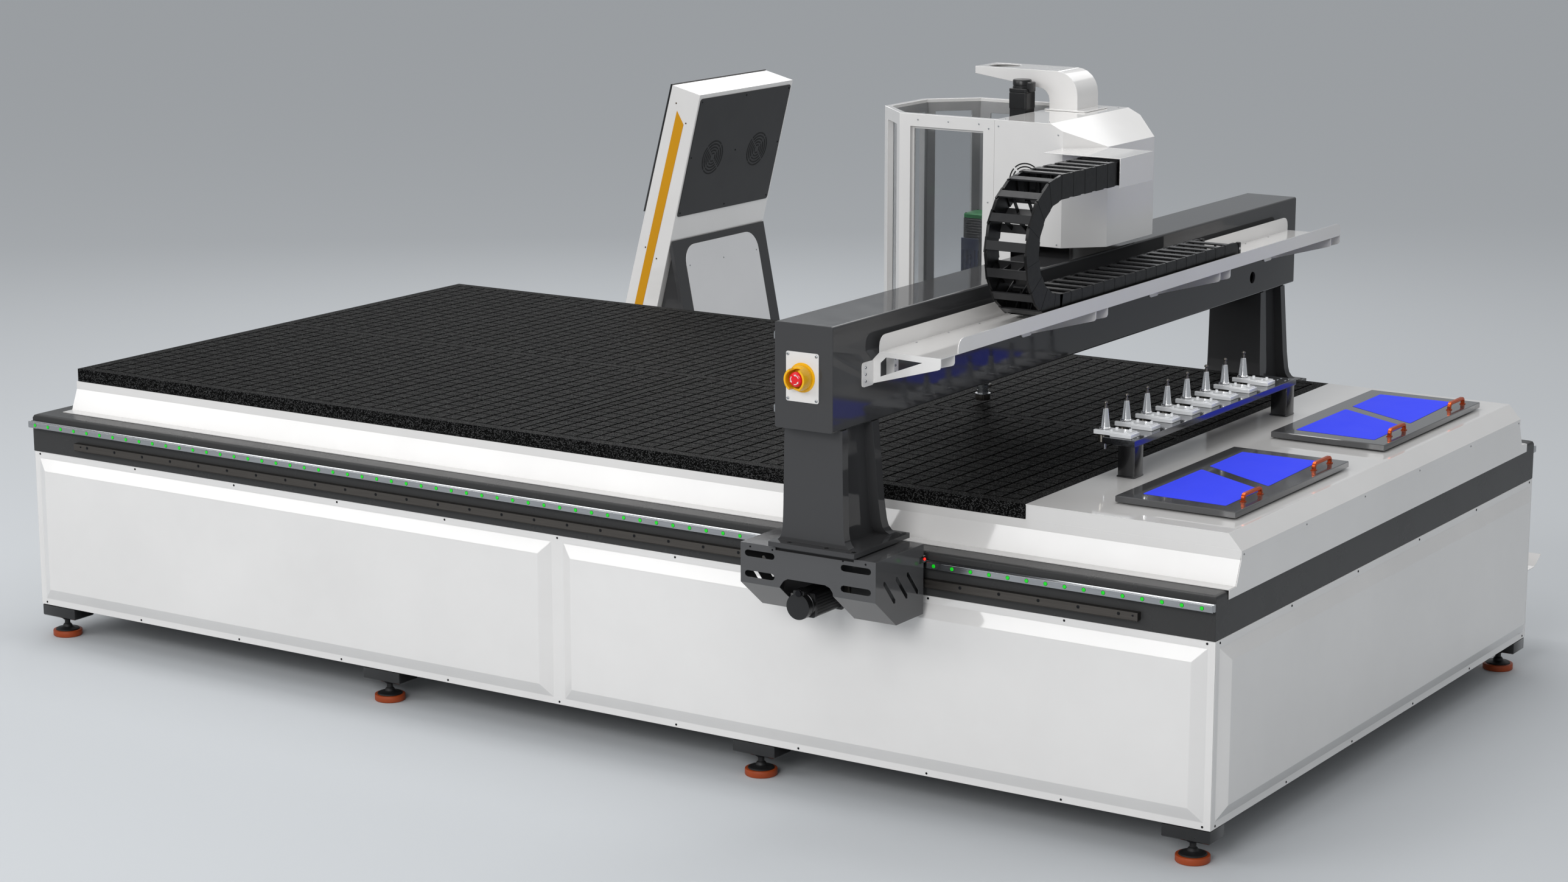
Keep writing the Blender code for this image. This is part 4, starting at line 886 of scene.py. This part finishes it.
def leg_fittings():
    """Sunk bolts in the foot plates of both legs, the cover screws, and a small red lamp."""
    # Each sunk bolt: a grey rim, a dark ring of painted shade for the counterbore, and a black hexagon
    # head.
    bolt = (
        ([(0.0086, -0.0004), (0.0086, 0.0003), (0.0078, 0.0006)], 24, 2),
        ([(0.0072, -0.0004), (0.0072, 0.0007), (0.006, 0.0008)], 20, 3),
        ([(0.0046, -0.0004), (0.0046, 0.0012), (0.0038, 0.0014)], 6, 1),
    )
    for name, out, edge in SIDES:
        fittings = Shape()
        for y in (-0.292, -0.023):
            yy = y if out < 0 else WIDTH - y
            for x in (3.2624, 3.3856, 3.4752):
                for profile, steps, paint_index in bolt:
                    fittings.turned(profile, (x, yy, 0.828), UP, steps, paint_index)
        for x in (3.13, 3.205, 3.44, 3.514):
            yy = edge + out * 0.2915
            fittings.screw((x, yy, 0.799), (0, out, 0), 0.003, 0.0016, 1)
        fittings.piece("leg_bolts_" + name, "gantry", [SCREW, SCREW_BLACK, GREY, PAINTED_HOLE_SHADE])
    lamp = Shape()
    lamp.box((3.5345, 3.549), (-0.054, -0.023), (0.754, 0.774), 1, 0.0012)
    lens = [(0.004, -0.0005), (0.004, 0.002), (0.003, 0.0032), (0.0012, 0.0036)]
    lamp.turned(lens, (3.549, -0.03, 0.7641), (1, 0, 0), 16, 0)
    lamp.piece("power_lamp", "gantry", [RED_LIGHT, BLACK_PAINT])


def arrow_arc(shape, cx, cz, radius, y, start, sweep, paint_index):
    """A flat curved arrow printed on the button."""
    def at(r, degrees):
        a = math.radians(degrees)
        return cx + r * math.cos(a), cz + r * math.sin(a)

    width = 0.0022
    low = [at(radius - width / 2, start + sweep * k / 8) for k in range(9)]
    high = [at(radius + width / 2, start + sweep * k / 8) for k in range(9)]
    shape.prism(low + high[::-1], "y", y - 0.0004, y, paint_index)
    end = start + sweep
    head = [at(radius - 0.0032, end), at(radius + 0.0032, end), at(radius, end + 26)]
    shape.prism(head, "y", y - 0.0004, y, paint_index)


def emergency_stop():
    """White plate, yellow guard ring with two notches, and the red button."""
    y = -0.3255
    cx, cz = 3.328, 1.314
    guard = Shape()
    plate = ring((3.2745, 3.3815), (1.2443, 1.3848), 0.006, 5)
    guard.prism(plate, "y", y - 0.003, y, 0, 0.0005)
    base = [(0.042, 0.0028), (0.042, 0.004), (0.0412, 0.0048), (0.0355, 0.0052)]
    guard.turned(base, (cx, y, cz), (0, -1, 0), 48, 1)
    steps = 96
    rim = []
    for k in range(steps):
        a = 2 * math.pi * k / steps
        deg = math.degrees(a)
        gap = any(abs((deg - c + 180) % 360 - 180) < 28 for c in (90, 270))
        h = 0.026 if gap else 0.0465
        ca, sa = math.cos(a), math.sin(a)
        rim.append([(cx + r * ca, y - d, cz + r * sa) for r, d in (
            (0.0355, 0.003), (0.0355, 0.015), (0.0338, h - 0.001), (0.033, h), (0.0285, h),
            (0.0277, h - 0.001), (0.0277, 0.009), (0.0277, 0.003),
        )])
    guard.loft(rim, 1, wrap=True)
    floor = [(0.028, 0.003), (0.028, 0.0085), (0.024, 0.0088)]
    guard.turned(floor, (cx, y, cz), (0, -1, 0), 40, 1)
    for px, pz in ((3.281, 1.377), (3.374, 1.377), (3.281, 1.252), (3.374, 1.252)):
        guard.screw((px, y - 0.003, pz), (0, -1, 0), 0.0046, 0.0026, 2, 18)
    guard.piece("stop_guard", "gantry", [WHITE_SATIN, YELLOW, SCREW], "estop_yellow", ["estop_guard"])
    button = Shape()
    head = [
        (0.012, 0.0156), (0.012, 0.0264), (0.015, 0.0272), (0.02, 0.0282), (0.0214, 0.031),
        (0.0215, 0.0338), (0.0208, 0.0372), (0.019, 0.0398), (0.016, 0.0414), (0.01, 0.0424),
        (0.004, 0.0426),
    ]
    button.turned(head, (cx, y, cz), (0, -1, 0), 48, 0)
    for start in (20, 140, 260):
        arrow_arc(button, cx, cz, 0.013, y - 0.0421, start, 58, 1)
    button.piece("stop_button", "estop_button_body", [RED, WHITE_SATIN], "estop_red", ["estop_button"])


def tray_fittings():
    """Screws of the tray brackets and of the tray's floor."""
    screws = Shape()
    for y in (-0.117, 0.798, 1.645, 2.507):
        for z in (1.3253, 1.3062, 1.2867):
            for shift in (-0.041, 0.119):
                screws.screw((3.429, y + shift, z), (1, 0, 0), 0.0042, 0.0024, 0)
    for k in range(14):
        screws.screw((3.464, 0.06 + 0.18 * k, 1.366), UP, 0.003, 0.0014, 0)
    screws.piece("tray_screws", "gantry", [SCREW])


# ---------------------------------------------------------------- cable chain
CHAIN_X = (3.493, 3.635)
CHAIN_LOW = 1.369
CHAIN_TALL = 0.074
CHAIN_CY = 0.599
CHAIN_CZ = 1.583
CHAIN_R = 0.214


def chain_frame(run, s0, step):
    """A function from (along, up) to machine (y, z), for one straight link of a stretch."""
    if run == "lower":
        return lambda s, h: (CHAIN_CY + 0.001 + s, CHAIN_LOW + h)
    if run == "upper":
        top = CHAIN_LOW + 2 * CHAIN_R
        return lambda s, h: (CHAIN_CY + 0.001 + s, top - h)
    middle = CHAIN_R - CHAIN_TALL / 2
    pins = []
    for a in (s0 / middle, (s0 + step) / middle):
        pins.append(Vector((CHAIN_CY - middle * math.sin(a), CHAIN_CZ - middle * math.cos(a))))
    along = (pins[1] - pins[0]) / step
    up = (Vector((CHAIN_CY, CHAIN_CZ)) - (pins[0] + pins[1]) / 2).normalized()
    return lambda s, h: tuple(pins[0] + along * (s - s0) + up * (h - CHAIN_TALL / 2))


def chain_stretch(shape, run, length, links):
    """Links that overlap: a square end outside, a rounded end inside, and bars over and under."""
    step = length / links
    tall = CHAIN_TALL
    mid_x = (CHAIN_X[0] + CHAIN_X[1]) / 2
    for k in range(links):
        s0 = k * step
        s1 = s0 + step
        at = chain_frame(run, s0, step)

        def plate(points, x0, x1, paint_index, bevel=0.0):
            shape.prism([at(*p) for p in points], "x", x0, x1, paint_index, bevel)

        square = [(s0 - 0.006, 0.0), (s0 + 0.04, 0.0), (s0 + 0.04, tall), (s0 - 0.006, tall)]
        half = [(s0 + 0.038, 0.0016), (s1 + 0.002, 0.0016), (s1 + 0.011, 0.0046), (s1 + 0.0175, 0.011)]
        half += [(s1 + 0.0215, 0.021), (s1 + 0.0228, tall / 2)]
        rounded = half + [(p, tall - q) for p, q in half[-2::-1]]
        for side, sign in ((CHAIN_X[0], 1), (CHAIN_X[1], -1)):
            plate(square, *sorted((side, side + sign * 0.006)), 0)
            plate(rounded, *sorted((side + sign * 0.0005, side + sign * 0.01)), 0)
        for low, high in ((0.0003, 0.005), (tall - 0.005, tall - 0.0003)):
            bar = [(s0 + 0.003, low), (s0 + 0.03, low), (s0 + 0.03, high), (s0 + 0.003, high)]
            plate(bar, CHAIN_X[0] + 0.005, CHAIN_X[1] - 0.005, 1, 0.0008)
        post = [(s0 + 0.01, 0.004), (s0 + 0.022, 0.004), (s0 + 0.022, tall - 0.004)]
        post.append((s0 + 0.01, tall - 0.004))
        for dx in (-0.026, 0.023):
            plate(post, mid_x + dx, mid_x + dx + 0.003, 0)


def cable_chain():
    """Two straight runs that stretch between gantry and carriage, and the bend between them."""
    pitch = 0.0695
    lower = Shape()
    chain_stretch(lower, "lower", 17 * pitch - 0.002, 17)
    end = CHAIN_CY + 17 * pitch
    for side, sign in ((CHAIN_X[0], 1), (CHAIN_X[1], -1)):
        ear = ring((end + 0.024, end + 0.04), (CHAIN_LOW + 0.002, CHAIN_LOW + 0.07), 0.003, 3)
        lower.prism(ear, "x", *sorted((side, side + sign * 0.0125)), 0, 0.0008)
    floor = (CHAIN_LOW + 0.002, CHAIN_LOW + 0.006)
    lower.box((CHAIN_X[0] + 0.01, CHAIN_X[1] - 0.01), (end - 0.004, end + 0.038), floor, 0)
    for z in (CHAIN_LOW + 0.022, CHAIN_LOW + 0.05):
        head = [(0.0044, -0.001), (0.0044, 0.0002), (0.0036, 0.001)]
        lower.turned(head, (CHAIN_X[1], end + 0.032, z), (1, 0, 0), 14, 2)
    paints = [CHAIN, CHAIN_BAR, WHITE_SATIN]
    part = lower.piece("chain_lower_run", None, paints, "black_plastic", ["chain_lower"])
    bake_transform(part)
    loop = Shape()
    chain_stretch(loop, "loop", math.pi * (CHAIN_R - CHAIN_TALL / 2), 8)
    loop.piece("chain_bend", "chain_loop_body", [CHAIN, CHAIN_BAR], "black_plastic", ["chain_loop"])
    upper = Shape()
    chain_stretch(upper, "upper", 1.1 - CHAIN_CY - 0.001, 7)
    part = upper.piece("chain_upper_run", None, [CHAIN, CHAIN_BAR], "black_plastic", ["chain_upper"])
    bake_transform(part)


# ---------------------------------------------------------------- head
HEAD_TOP = 1.88


def fan_grille(shape, centre, normal, radii, width, paint_index, lift=0.0006):
    """Concentric quarter arcs with narrow bridges between them, as pressed into a panel."""
    a, b, n = rotated(normal)
    c = Vector(centre)
    for radius in radii:
        bridge = math.asin(min(0.9, 0.0035 / radius))
        for quarter in range(4):
            start = math.pi / 2 * (quarter + 0.5) + bridge
            sweep = math.pi / 2 - 2 * bridge
            low, high = [], []
            for k in range(13):
                t = start + sweep * k / 12
                for r, side in ((radius - width / 2, low), (radius + width / 2, high)):
                    side.append(a * r * math.cos(t) + b * r * math.sin(t))
            outline = low + high[::-1]
            shape.loft([[c + p + n * h for p in outline] for h in (-0.0004, lift)], paint_index)


def head_details():
    """Fan grilles, screws and the pale seals round the two large windows."""
    y0 = HEAD_Y - 0.26
    y1 = HEAD_Y + 0.26
    extras = Shape()
    for y, out in ((y0, -1), (y1, 1)):
        radii = (0.016, 0.026, 0.036, 0.046, 0.056)
        # The grille's arcs are near-black: painted shade where the vent's slots are.
        fan_grille(extras, (3.258, y, 1.695), (0, out, 0), radii, 0.0042, 0)
        for z in (1.86, 1.63, 1.34, 1.27):
            extras.screw((3.16, y, z), (0, out, 0), 0.003, 0.0016, 1)
            extras.screw((3.125, y, z - 0.01), (0, out, 0), 0.003, 0.0016, 1)
        for x in (2.87, 2.98, 3.09):
            extras.screw((x, y, 1.862), (0, out, 0), 0.003, 0.0016, 1)
        for z in (1.86, 1.76, 1.52):
            extras.screw((3.37, y, z - 0.014), (0, out, 0), 0.003, 0.0016, 1)
    for y in (y0 + 0.03, y1 - 0.03):
        for x in (3.165, 3.32):
            extras.screw((x, y, HEAD_TOP), UP, 0.0032, 0.0016, 1)
    extras.piece("head_grille_screws", "carriage", [PAINTED_HOLE_SHADE, SCREW])
    gasket = Shape()
    z = (1.215, 1.845)
    for y, out in ((y0, -1), (y1, 1)):
        inner_y = y - out * 0.02
        outer = ring((2.837, 3.11), z, 0.004, 2)
        inner = ring((2.849, 3.098), (z[0] + 0.012, z[1] - 0.012), 0.002, 2)
        loops = []
        for v in (inner_y - out * 0.0002, inner_y + out * 0.006):
            loops.append([place(p, "y", v) for p in outer])
        back = [[place(p, "y", v) for p in inner] for v in (inner_y + out * 0.006, inner_y - out * 0.0002)]
        gasket.loft(loops + back, 0, wrap=True)
    gasket.piece("window_gaskets", "carriage", [WHITE_SATIN])


def z_motor():
    """Square motor of five stacked blocks, with a round cap and a connector."""
    x, y, half = 3.0977, HEAD_Y, 0.0315
    motor = Shape()
    blocks = (
        (0.0, 1.7985, 1.812, 0.0008), (0.0012, 1.811, 1.889, 0.0006), (0.0, 1.888, 1.938, 0.0008),
        (0.0015, 1.937, 1.942, 0.0), (0.0, 1.94, 1.951, 0.0008),
    )
    for less, z0, z1, edge in blocks:
        h = half - less
        motor.prism(ring((x - h, x + h), (y - h, y + h), 0.006, 4), "z", z0, z1, 0, edge)
    cap = [
        (0.03, 0.0), (0.03, 0.008), (0.0288, 0.009), (0.0288, 0.011), (0.03, 0.012),
        (0.03, 0.025), (0.028, 0.0285), (0.012, 0.029),
    ]
    motor.turned(cap, (x, y, 1.95), UP, 36, 0)
    motor.box((x + 0.01, x + 0.04), (y - 0.016, y + 0.016), (1.94, 1.972), 0, 0.0025)
    for sx, sy in CORNERS:
        motor.cap_screw((x + sx * 0.0245, y + sy * 0.0245, 1.812), UP, 0.0035, 0.003, 1, 10)
    motor.piece("z_servo", "carriage", [MOTOR, SCREW_BLACK], "motor_black", ["z_motor"])


SPINDLE_X = 2.969


def spindle():
    """Finned motor body with a fan section and a green cap, and the round nose under it."""
    x, y = SPINDLE_X, HEAD_Y
    body = Shape()

    def block(low, high, half, radius, steps, z0, z1, paint_index, edge=0.0):
        outline = ring((x + low, x + high), (y - half, y + half), radius, steps)
        body.prism(outline, "z", z0, z1, paint_index, edge)

    block(-0.059, 0.0595, 0.045, 0.006, 3, 1.081, 1.463, 0)
    for z0, z1 in ((1.08, 1.116), (1.426, 1.464)):
        block(-0.062, 0.0625, 0.048, 0.006, 3, z0, z1, 0, 0.0008)
    fin_z = (1.115, 1.427)
    for k in range(9):
        px = x - 0.056 + 0.112 * k / 8
        for side in (-1, 1):
            yy = sorted((y + side * 0.044, y + side * 0.048))
            body.box((px - 0.0036, px + 0.0036), yy, fin_z, 0, 0.0008)
    for k in range(7):
        py = y - 0.039 + 0.078 * k / 6
        for low, high in ((-0.062, -0.0585), (0.059, 0.0625)):
            body.box((x + low, x + high), (py - 0.0036, py + 0.0036), fin_z, 0, 0.0008)
    block(-0.059, 0.059, 0.045, 0.017, 5, 1.463, 1.529, 1)
    for k in range(7):
        z = 1.466 + 0.0088 * k
        block(-0.06, 0.06, 0.046, 0.018, 5, z, z + 0.0066, 1, 0.0006)
    block(-0.056, 0.059, 0.046, 0.012, 4, 1.527, 1.544, 2, 0.003)
    nose = [
        (0.044, 1.084), (0.044, 1.056), (0.0425, 1.0548), (0.0425, 1.052), (0.044, 1.0508),
        (0.044, 1.034), (0.0432, 1.032), (0.0382, 1.0226), (0.0366, 1.0214), (0.036, 1.006),
        (0.0352, 1.0042),
    ]
    body.turned(nose, (x, y, 0.0), UP, 48, 3)
    plug = [(0.013, 0.0), (0.013, 0.008), (0.0105, 0.009), (0.0105, 0.02), (0.007, 0.023)]
    body.turned(plug, (x + 0.03, y, 1.5435), UP, 20, 4)
    for sx, sy in CORNERS:
        body.screw((x + sx * 0.05 + 0.002, y + sy * 0.038, 1.544), UP, 0.003, 0.0014, 4)
    paints = [SPINDLE_BLUE, BLACK_PAINT, CAP_TEAL, ALLOY, SCREW_BLACK]
    body.piece("router_spindle", "z_head", paints, "spindle_blue", ["spindle"])


def tool_nose():
    """The tool holder under the spindle: a flanged steel shank over a fluted nut."""
    c = Vector((SPINDLE_X, HEAD_Y, 0.985))
    nut = Shape()
    shank = [
        (0.02, 0.0185), (0.02, 0.0), (0.0208, -0.001), (0.0232, -0.0018), (0.0238, -0.0024),
        (0.0238, -0.0096), (0.0232, -0.0102), (0.019, -0.0106), (0.0182, -0.0112), (0.0182, -0.018),
        (0.017, -0.0186), (0.017, -0.02), (0.0182, -0.0206), (0.0182, -0.03), (0.019, -0.0306),
        (0.0248, -0.0308), (0.0254, -0.0314), (0.0254, -0.0336), (0.0248, -0.0342),
    ]
    nut.turned(shank, c, UP, 48, 1)
    half = (0.005, 0.004, 0.0052)
    for turn in (0, 180):
        t = math.radians(turn + 20)
        mid = c + Vector((0.0222 * math.cos(t), 0.0222 * math.sin(t), -0.006))
        spans = [(mid[n] - half[n], mid[n] + half[n]) for n in range(3)]
        nut.box(*spans, 0, 0.0008)
    levels = ((0.0245, -0.0338), (0.0245, -0.0505), (0.0236, -0.0532), (0.0205, -0.054))
    fluted_nut(nut, c, levels, 0.0016, 12, 0)
    nut.piece("collet_nut", "spindle_rotor", [GEAR_STEEL, SCREW], "bright_steel", ["spindle_nose"])


# ---------------------------------------------------------------- console
BACK_LEAN = 0.25043
STAND_LEAN = (0.77 - 0.565) / 1.0284


def front_x(z):
    return 0.1319 + 0.26726 * z


def back_x(z):
    return 0.3031 + BACK_LEAN * z


def stand_x(z):
    return 0.77 - STAND_LEAN * z


def on_face(points, line, lift):
    """Points (y, z) put on the leaning face given by line(z), lifted off it."""
    return [(line(z) + lift, y, z) for y, z in points]


def cover_plate(outline, line, screws_y, screws_z, normal, radius, height):
    """A thin plate with a chamfered edge, and three rows of three screws."""
    plate = Shape()
    small = inset(outline, 0.0007)
    rims = ((outline, -0.001), (outline, 0.0024), (small, 0.0032))
    plate.loft([on_face(rim, line, lift) for rim, lift in rims], 0)
    for y in screws_y:
        for z in screws_z:
            plate.screw((line(z) + 0.003, y, z), normal, radius, height, 1)
    return plate


def console():
    """The console's two rear plates, its stripes and the lit part of its screen."""
    normal = Vector((1, 0, -BACK_LEAN)).normalized()
    outline = ring((3.01, 3.668), (1.127, 1.611), 0.012, 6)
    panel = cover_plate(
        outline, back_x, (3.023, 3.34, 3.655), (1.143, 1.37, 1.597), normal, 0.0038, 0.002,
    )
    for y in (3.179, 3.504):
        centre = (back_x(1.356) + 0.0031, y, 1.356)
        # The grille's arcs are near-black: painted shade where the vent's slots are.
        fan_grille(panel, centre, normal, (0.017, 0.03, 0.043, 0.056, 0.069), 0.0058, 2, 0.0008)
    panel.piece("console_back_panel", "base", [DARK_PANEL, SCREW_BLACK, PAINTED_HOLE_SHADE])
    normal = Vector((1, 0, STAND_LEAN)).normalized()
    outline = ring((3.076, 3.604), (0.09, 1.0), 0.075, 8)
    lower = cover_plate(
        outline, stand_x, (3.096, 3.34, 3.584), (0.17, 0.545, 0.92), normal, 0.0036, 0.0018,
    )
    lower.piece("console_rear_panel", "base", [PANEL_GREY, SCREW])
    band = [
        (0.5975, 1.5594), (0.6287, 1.5054), (0.421, 0.757), (0.23, 0.004), (0.19, 0.004),
        (0.3814, 0.7571),
    ]
    spots = (
        (0.594, 1.589), (0.64, 1.511), (0.437, 0.994), (0.491, 0.952), (0.273, 0.4),
        (0.327, 0.358),
    )
    for name, y, out in (("near", 3.0, -1), ("far", 3.68, 1)):
        stripe = Shape()
        stripe.prism(band, "y", *sorted((y - out * 0.001, y + out * 0.0016)), 0, 0.0005)
        for x, z in spots:
            stripe.screw((x, y, z), (0, out, 0), 0.0034, 0.0016, 1)
        stripe.piece("console_stripe_" + name, "base", [AMBER, SCREW_BROWN])
    face = Shape()
    outline = ring((3.025, 3.655), (1.18, 1.63), 0.006, 4)
    face.loft([on_face(outline, front_x, lift) for lift in (-0.0085, -0.0092)], 0)
    face.piece("console_screen_area", "base", [SCREEN_BLUE])


# ---------------------------------------------------------------- surroundings
def surroundings():
    """A wide pale floor, and a soft sky that is brighter overhead than at the horizon."""
    floor = bpy.data.materials.new("studio_floor")
    floor.use_nodes = True
    shader = floor.node_tree.nodes["Principled BSDF"]
    shader.inputs["Base Color"].default_value = (0.585, 0.605, 0.625, 1.0)
    shader.inputs["Roughness"].default_value = 0.9
    shader.inputs["Specular IOR Level"].default_value = 0.05
    half, under = 90.0, -0.0004
    mesh = bpy.data.meshes.new("studio_floor")
    corners = [(-half, -half, under), (half, -half, under), (half, half, under), (-half, half, under)]
    mesh.from_pydata(corners, [], [(0, 1, 2, 3)])
    mesh.materials.append(floor)
    obj = bpy.data.objects.new("studio_floor", mesh)
    bpy.context.scene.collection.objects.link(obj)
    world = bpy.context.scene.world or bpy.data.worlds.new("studio")
    bpy.context.scene.world = world
    world.use_nodes = True
    tree = world.node_tree
    for node in list(tree.nodes):
        tree.nodes.remove(node)
    out = tree.nodes.new("ShaderNodeOutputWorld")
    back = tree.nodes.new("ShaderNodeBackground")
    ramp = tree.nodes.new("ShaderNodeValToRGB")
    coords = tree.nodes.new("ShaderNodeTexCoord")
    split = tree.nodes.new("ShaderNodeSeparateXYZ")
    tree.links.new(coords.outputs["Generated"], split.inputs[0])
    tree.links.new(split.outputs["Z"], ramp.inputs["Fac"])
    horizon, zenith = ramp.color_ramp.elements
    horizon.position, horizon.color = 0.02, (0.36, 0.38, 0.4, 1)
    zenith.position, zenith.color = 0.85, (0.78, 0.79, 0.8, 1)
    tree.links.new(ramp.outputs["Color"], back.inputs["Color"])
    back.inputs["Strength"].default_value = 0.8
    tree.links.new(back.outputs["Background"], out.inputs["Surface"])


def area_light(name, position, target, size, power):
    data = bpy.data.lights.new(name, "AREA")
    data.shape = "RECTANGLE"
    data.size = size[0]
    data.size_y = size[1]
    data.energy = power
    obj = bpy.data.objects.new(name, data)
    bpy.context.scene.collection.objects.link(obj)
    obj.location = position
    way = Vector(target) - Vector(position)
    obj.rotation_euler = way.to_track_quat("-Z", "Y").to_euler()
    obj.visible_camera = False


def lights():
    """Large soft panels: each is (position), (what it faces), (size in metres), watts."""
    area_light("overhead_strip", (-2.9, -1.0, 5.4), (-2.9, -1.2, 0.7), (6.5, 0.9), 67.0)
    area_light("front_left_softbox", (-5.2, -7.8, 5.1), (-5.2, -1.2, 0.7), (9.0, 2.0), 205.0)
    area_light("front_fill", (2.8, -10.0, 4.6), (0.8, 0.0, 0.7), (4.0, 3.0), 310.0)
    area_light("back_high", (0.3, 6.2, 6.4), (0.3, 0.2, 1.4), (6.0, 2.4), 45.0)
    area_light("head_top", (0.9, 0.1, 4.4), (0.9, 0.1, 1.0), (2.2, 2.2), 38.0)
    area_light("console_top", (-4.5, 5.5, 4.2), (0.0, 0.0, 1.0), (5.0, 1.6), 66.0)


def camera():
    """The photograph's view: from the front right, a little above."""
    turn, pitch = math.radians(32.9895), math.radians(90 - 12.2255)
    data = bpy.data.cameras.new("photo_camera")
    data.sensor_width = 36.0
    data.lens = 76.756
    data.clip_end = 200.0
    obj = bpy.data.objects.new("photo_camera", data)
    bpy.context.scene.collection.objects.link(obj)
    obj.location = (5.99669, -9.61437, 3.09903)
    obj.rotation_euler = (pitch, 0.0, turn)
    bpy.context.scene.camera = obj
    bpy.context.scene.view_settings.view_transform = "Standard"


dressed_nodes()
rail_caps()
racks()
panel_screws()
mat()
feet()
tool_rack()
tool_holders()
lids()
drive_motors()
pinions()
leg_fittings()
emergency_stop()
tray_fittings()
cable_chain()
head_details()
z_motor()
spindle()
tool_nose()
console()
surroundings()
lights()
camera()
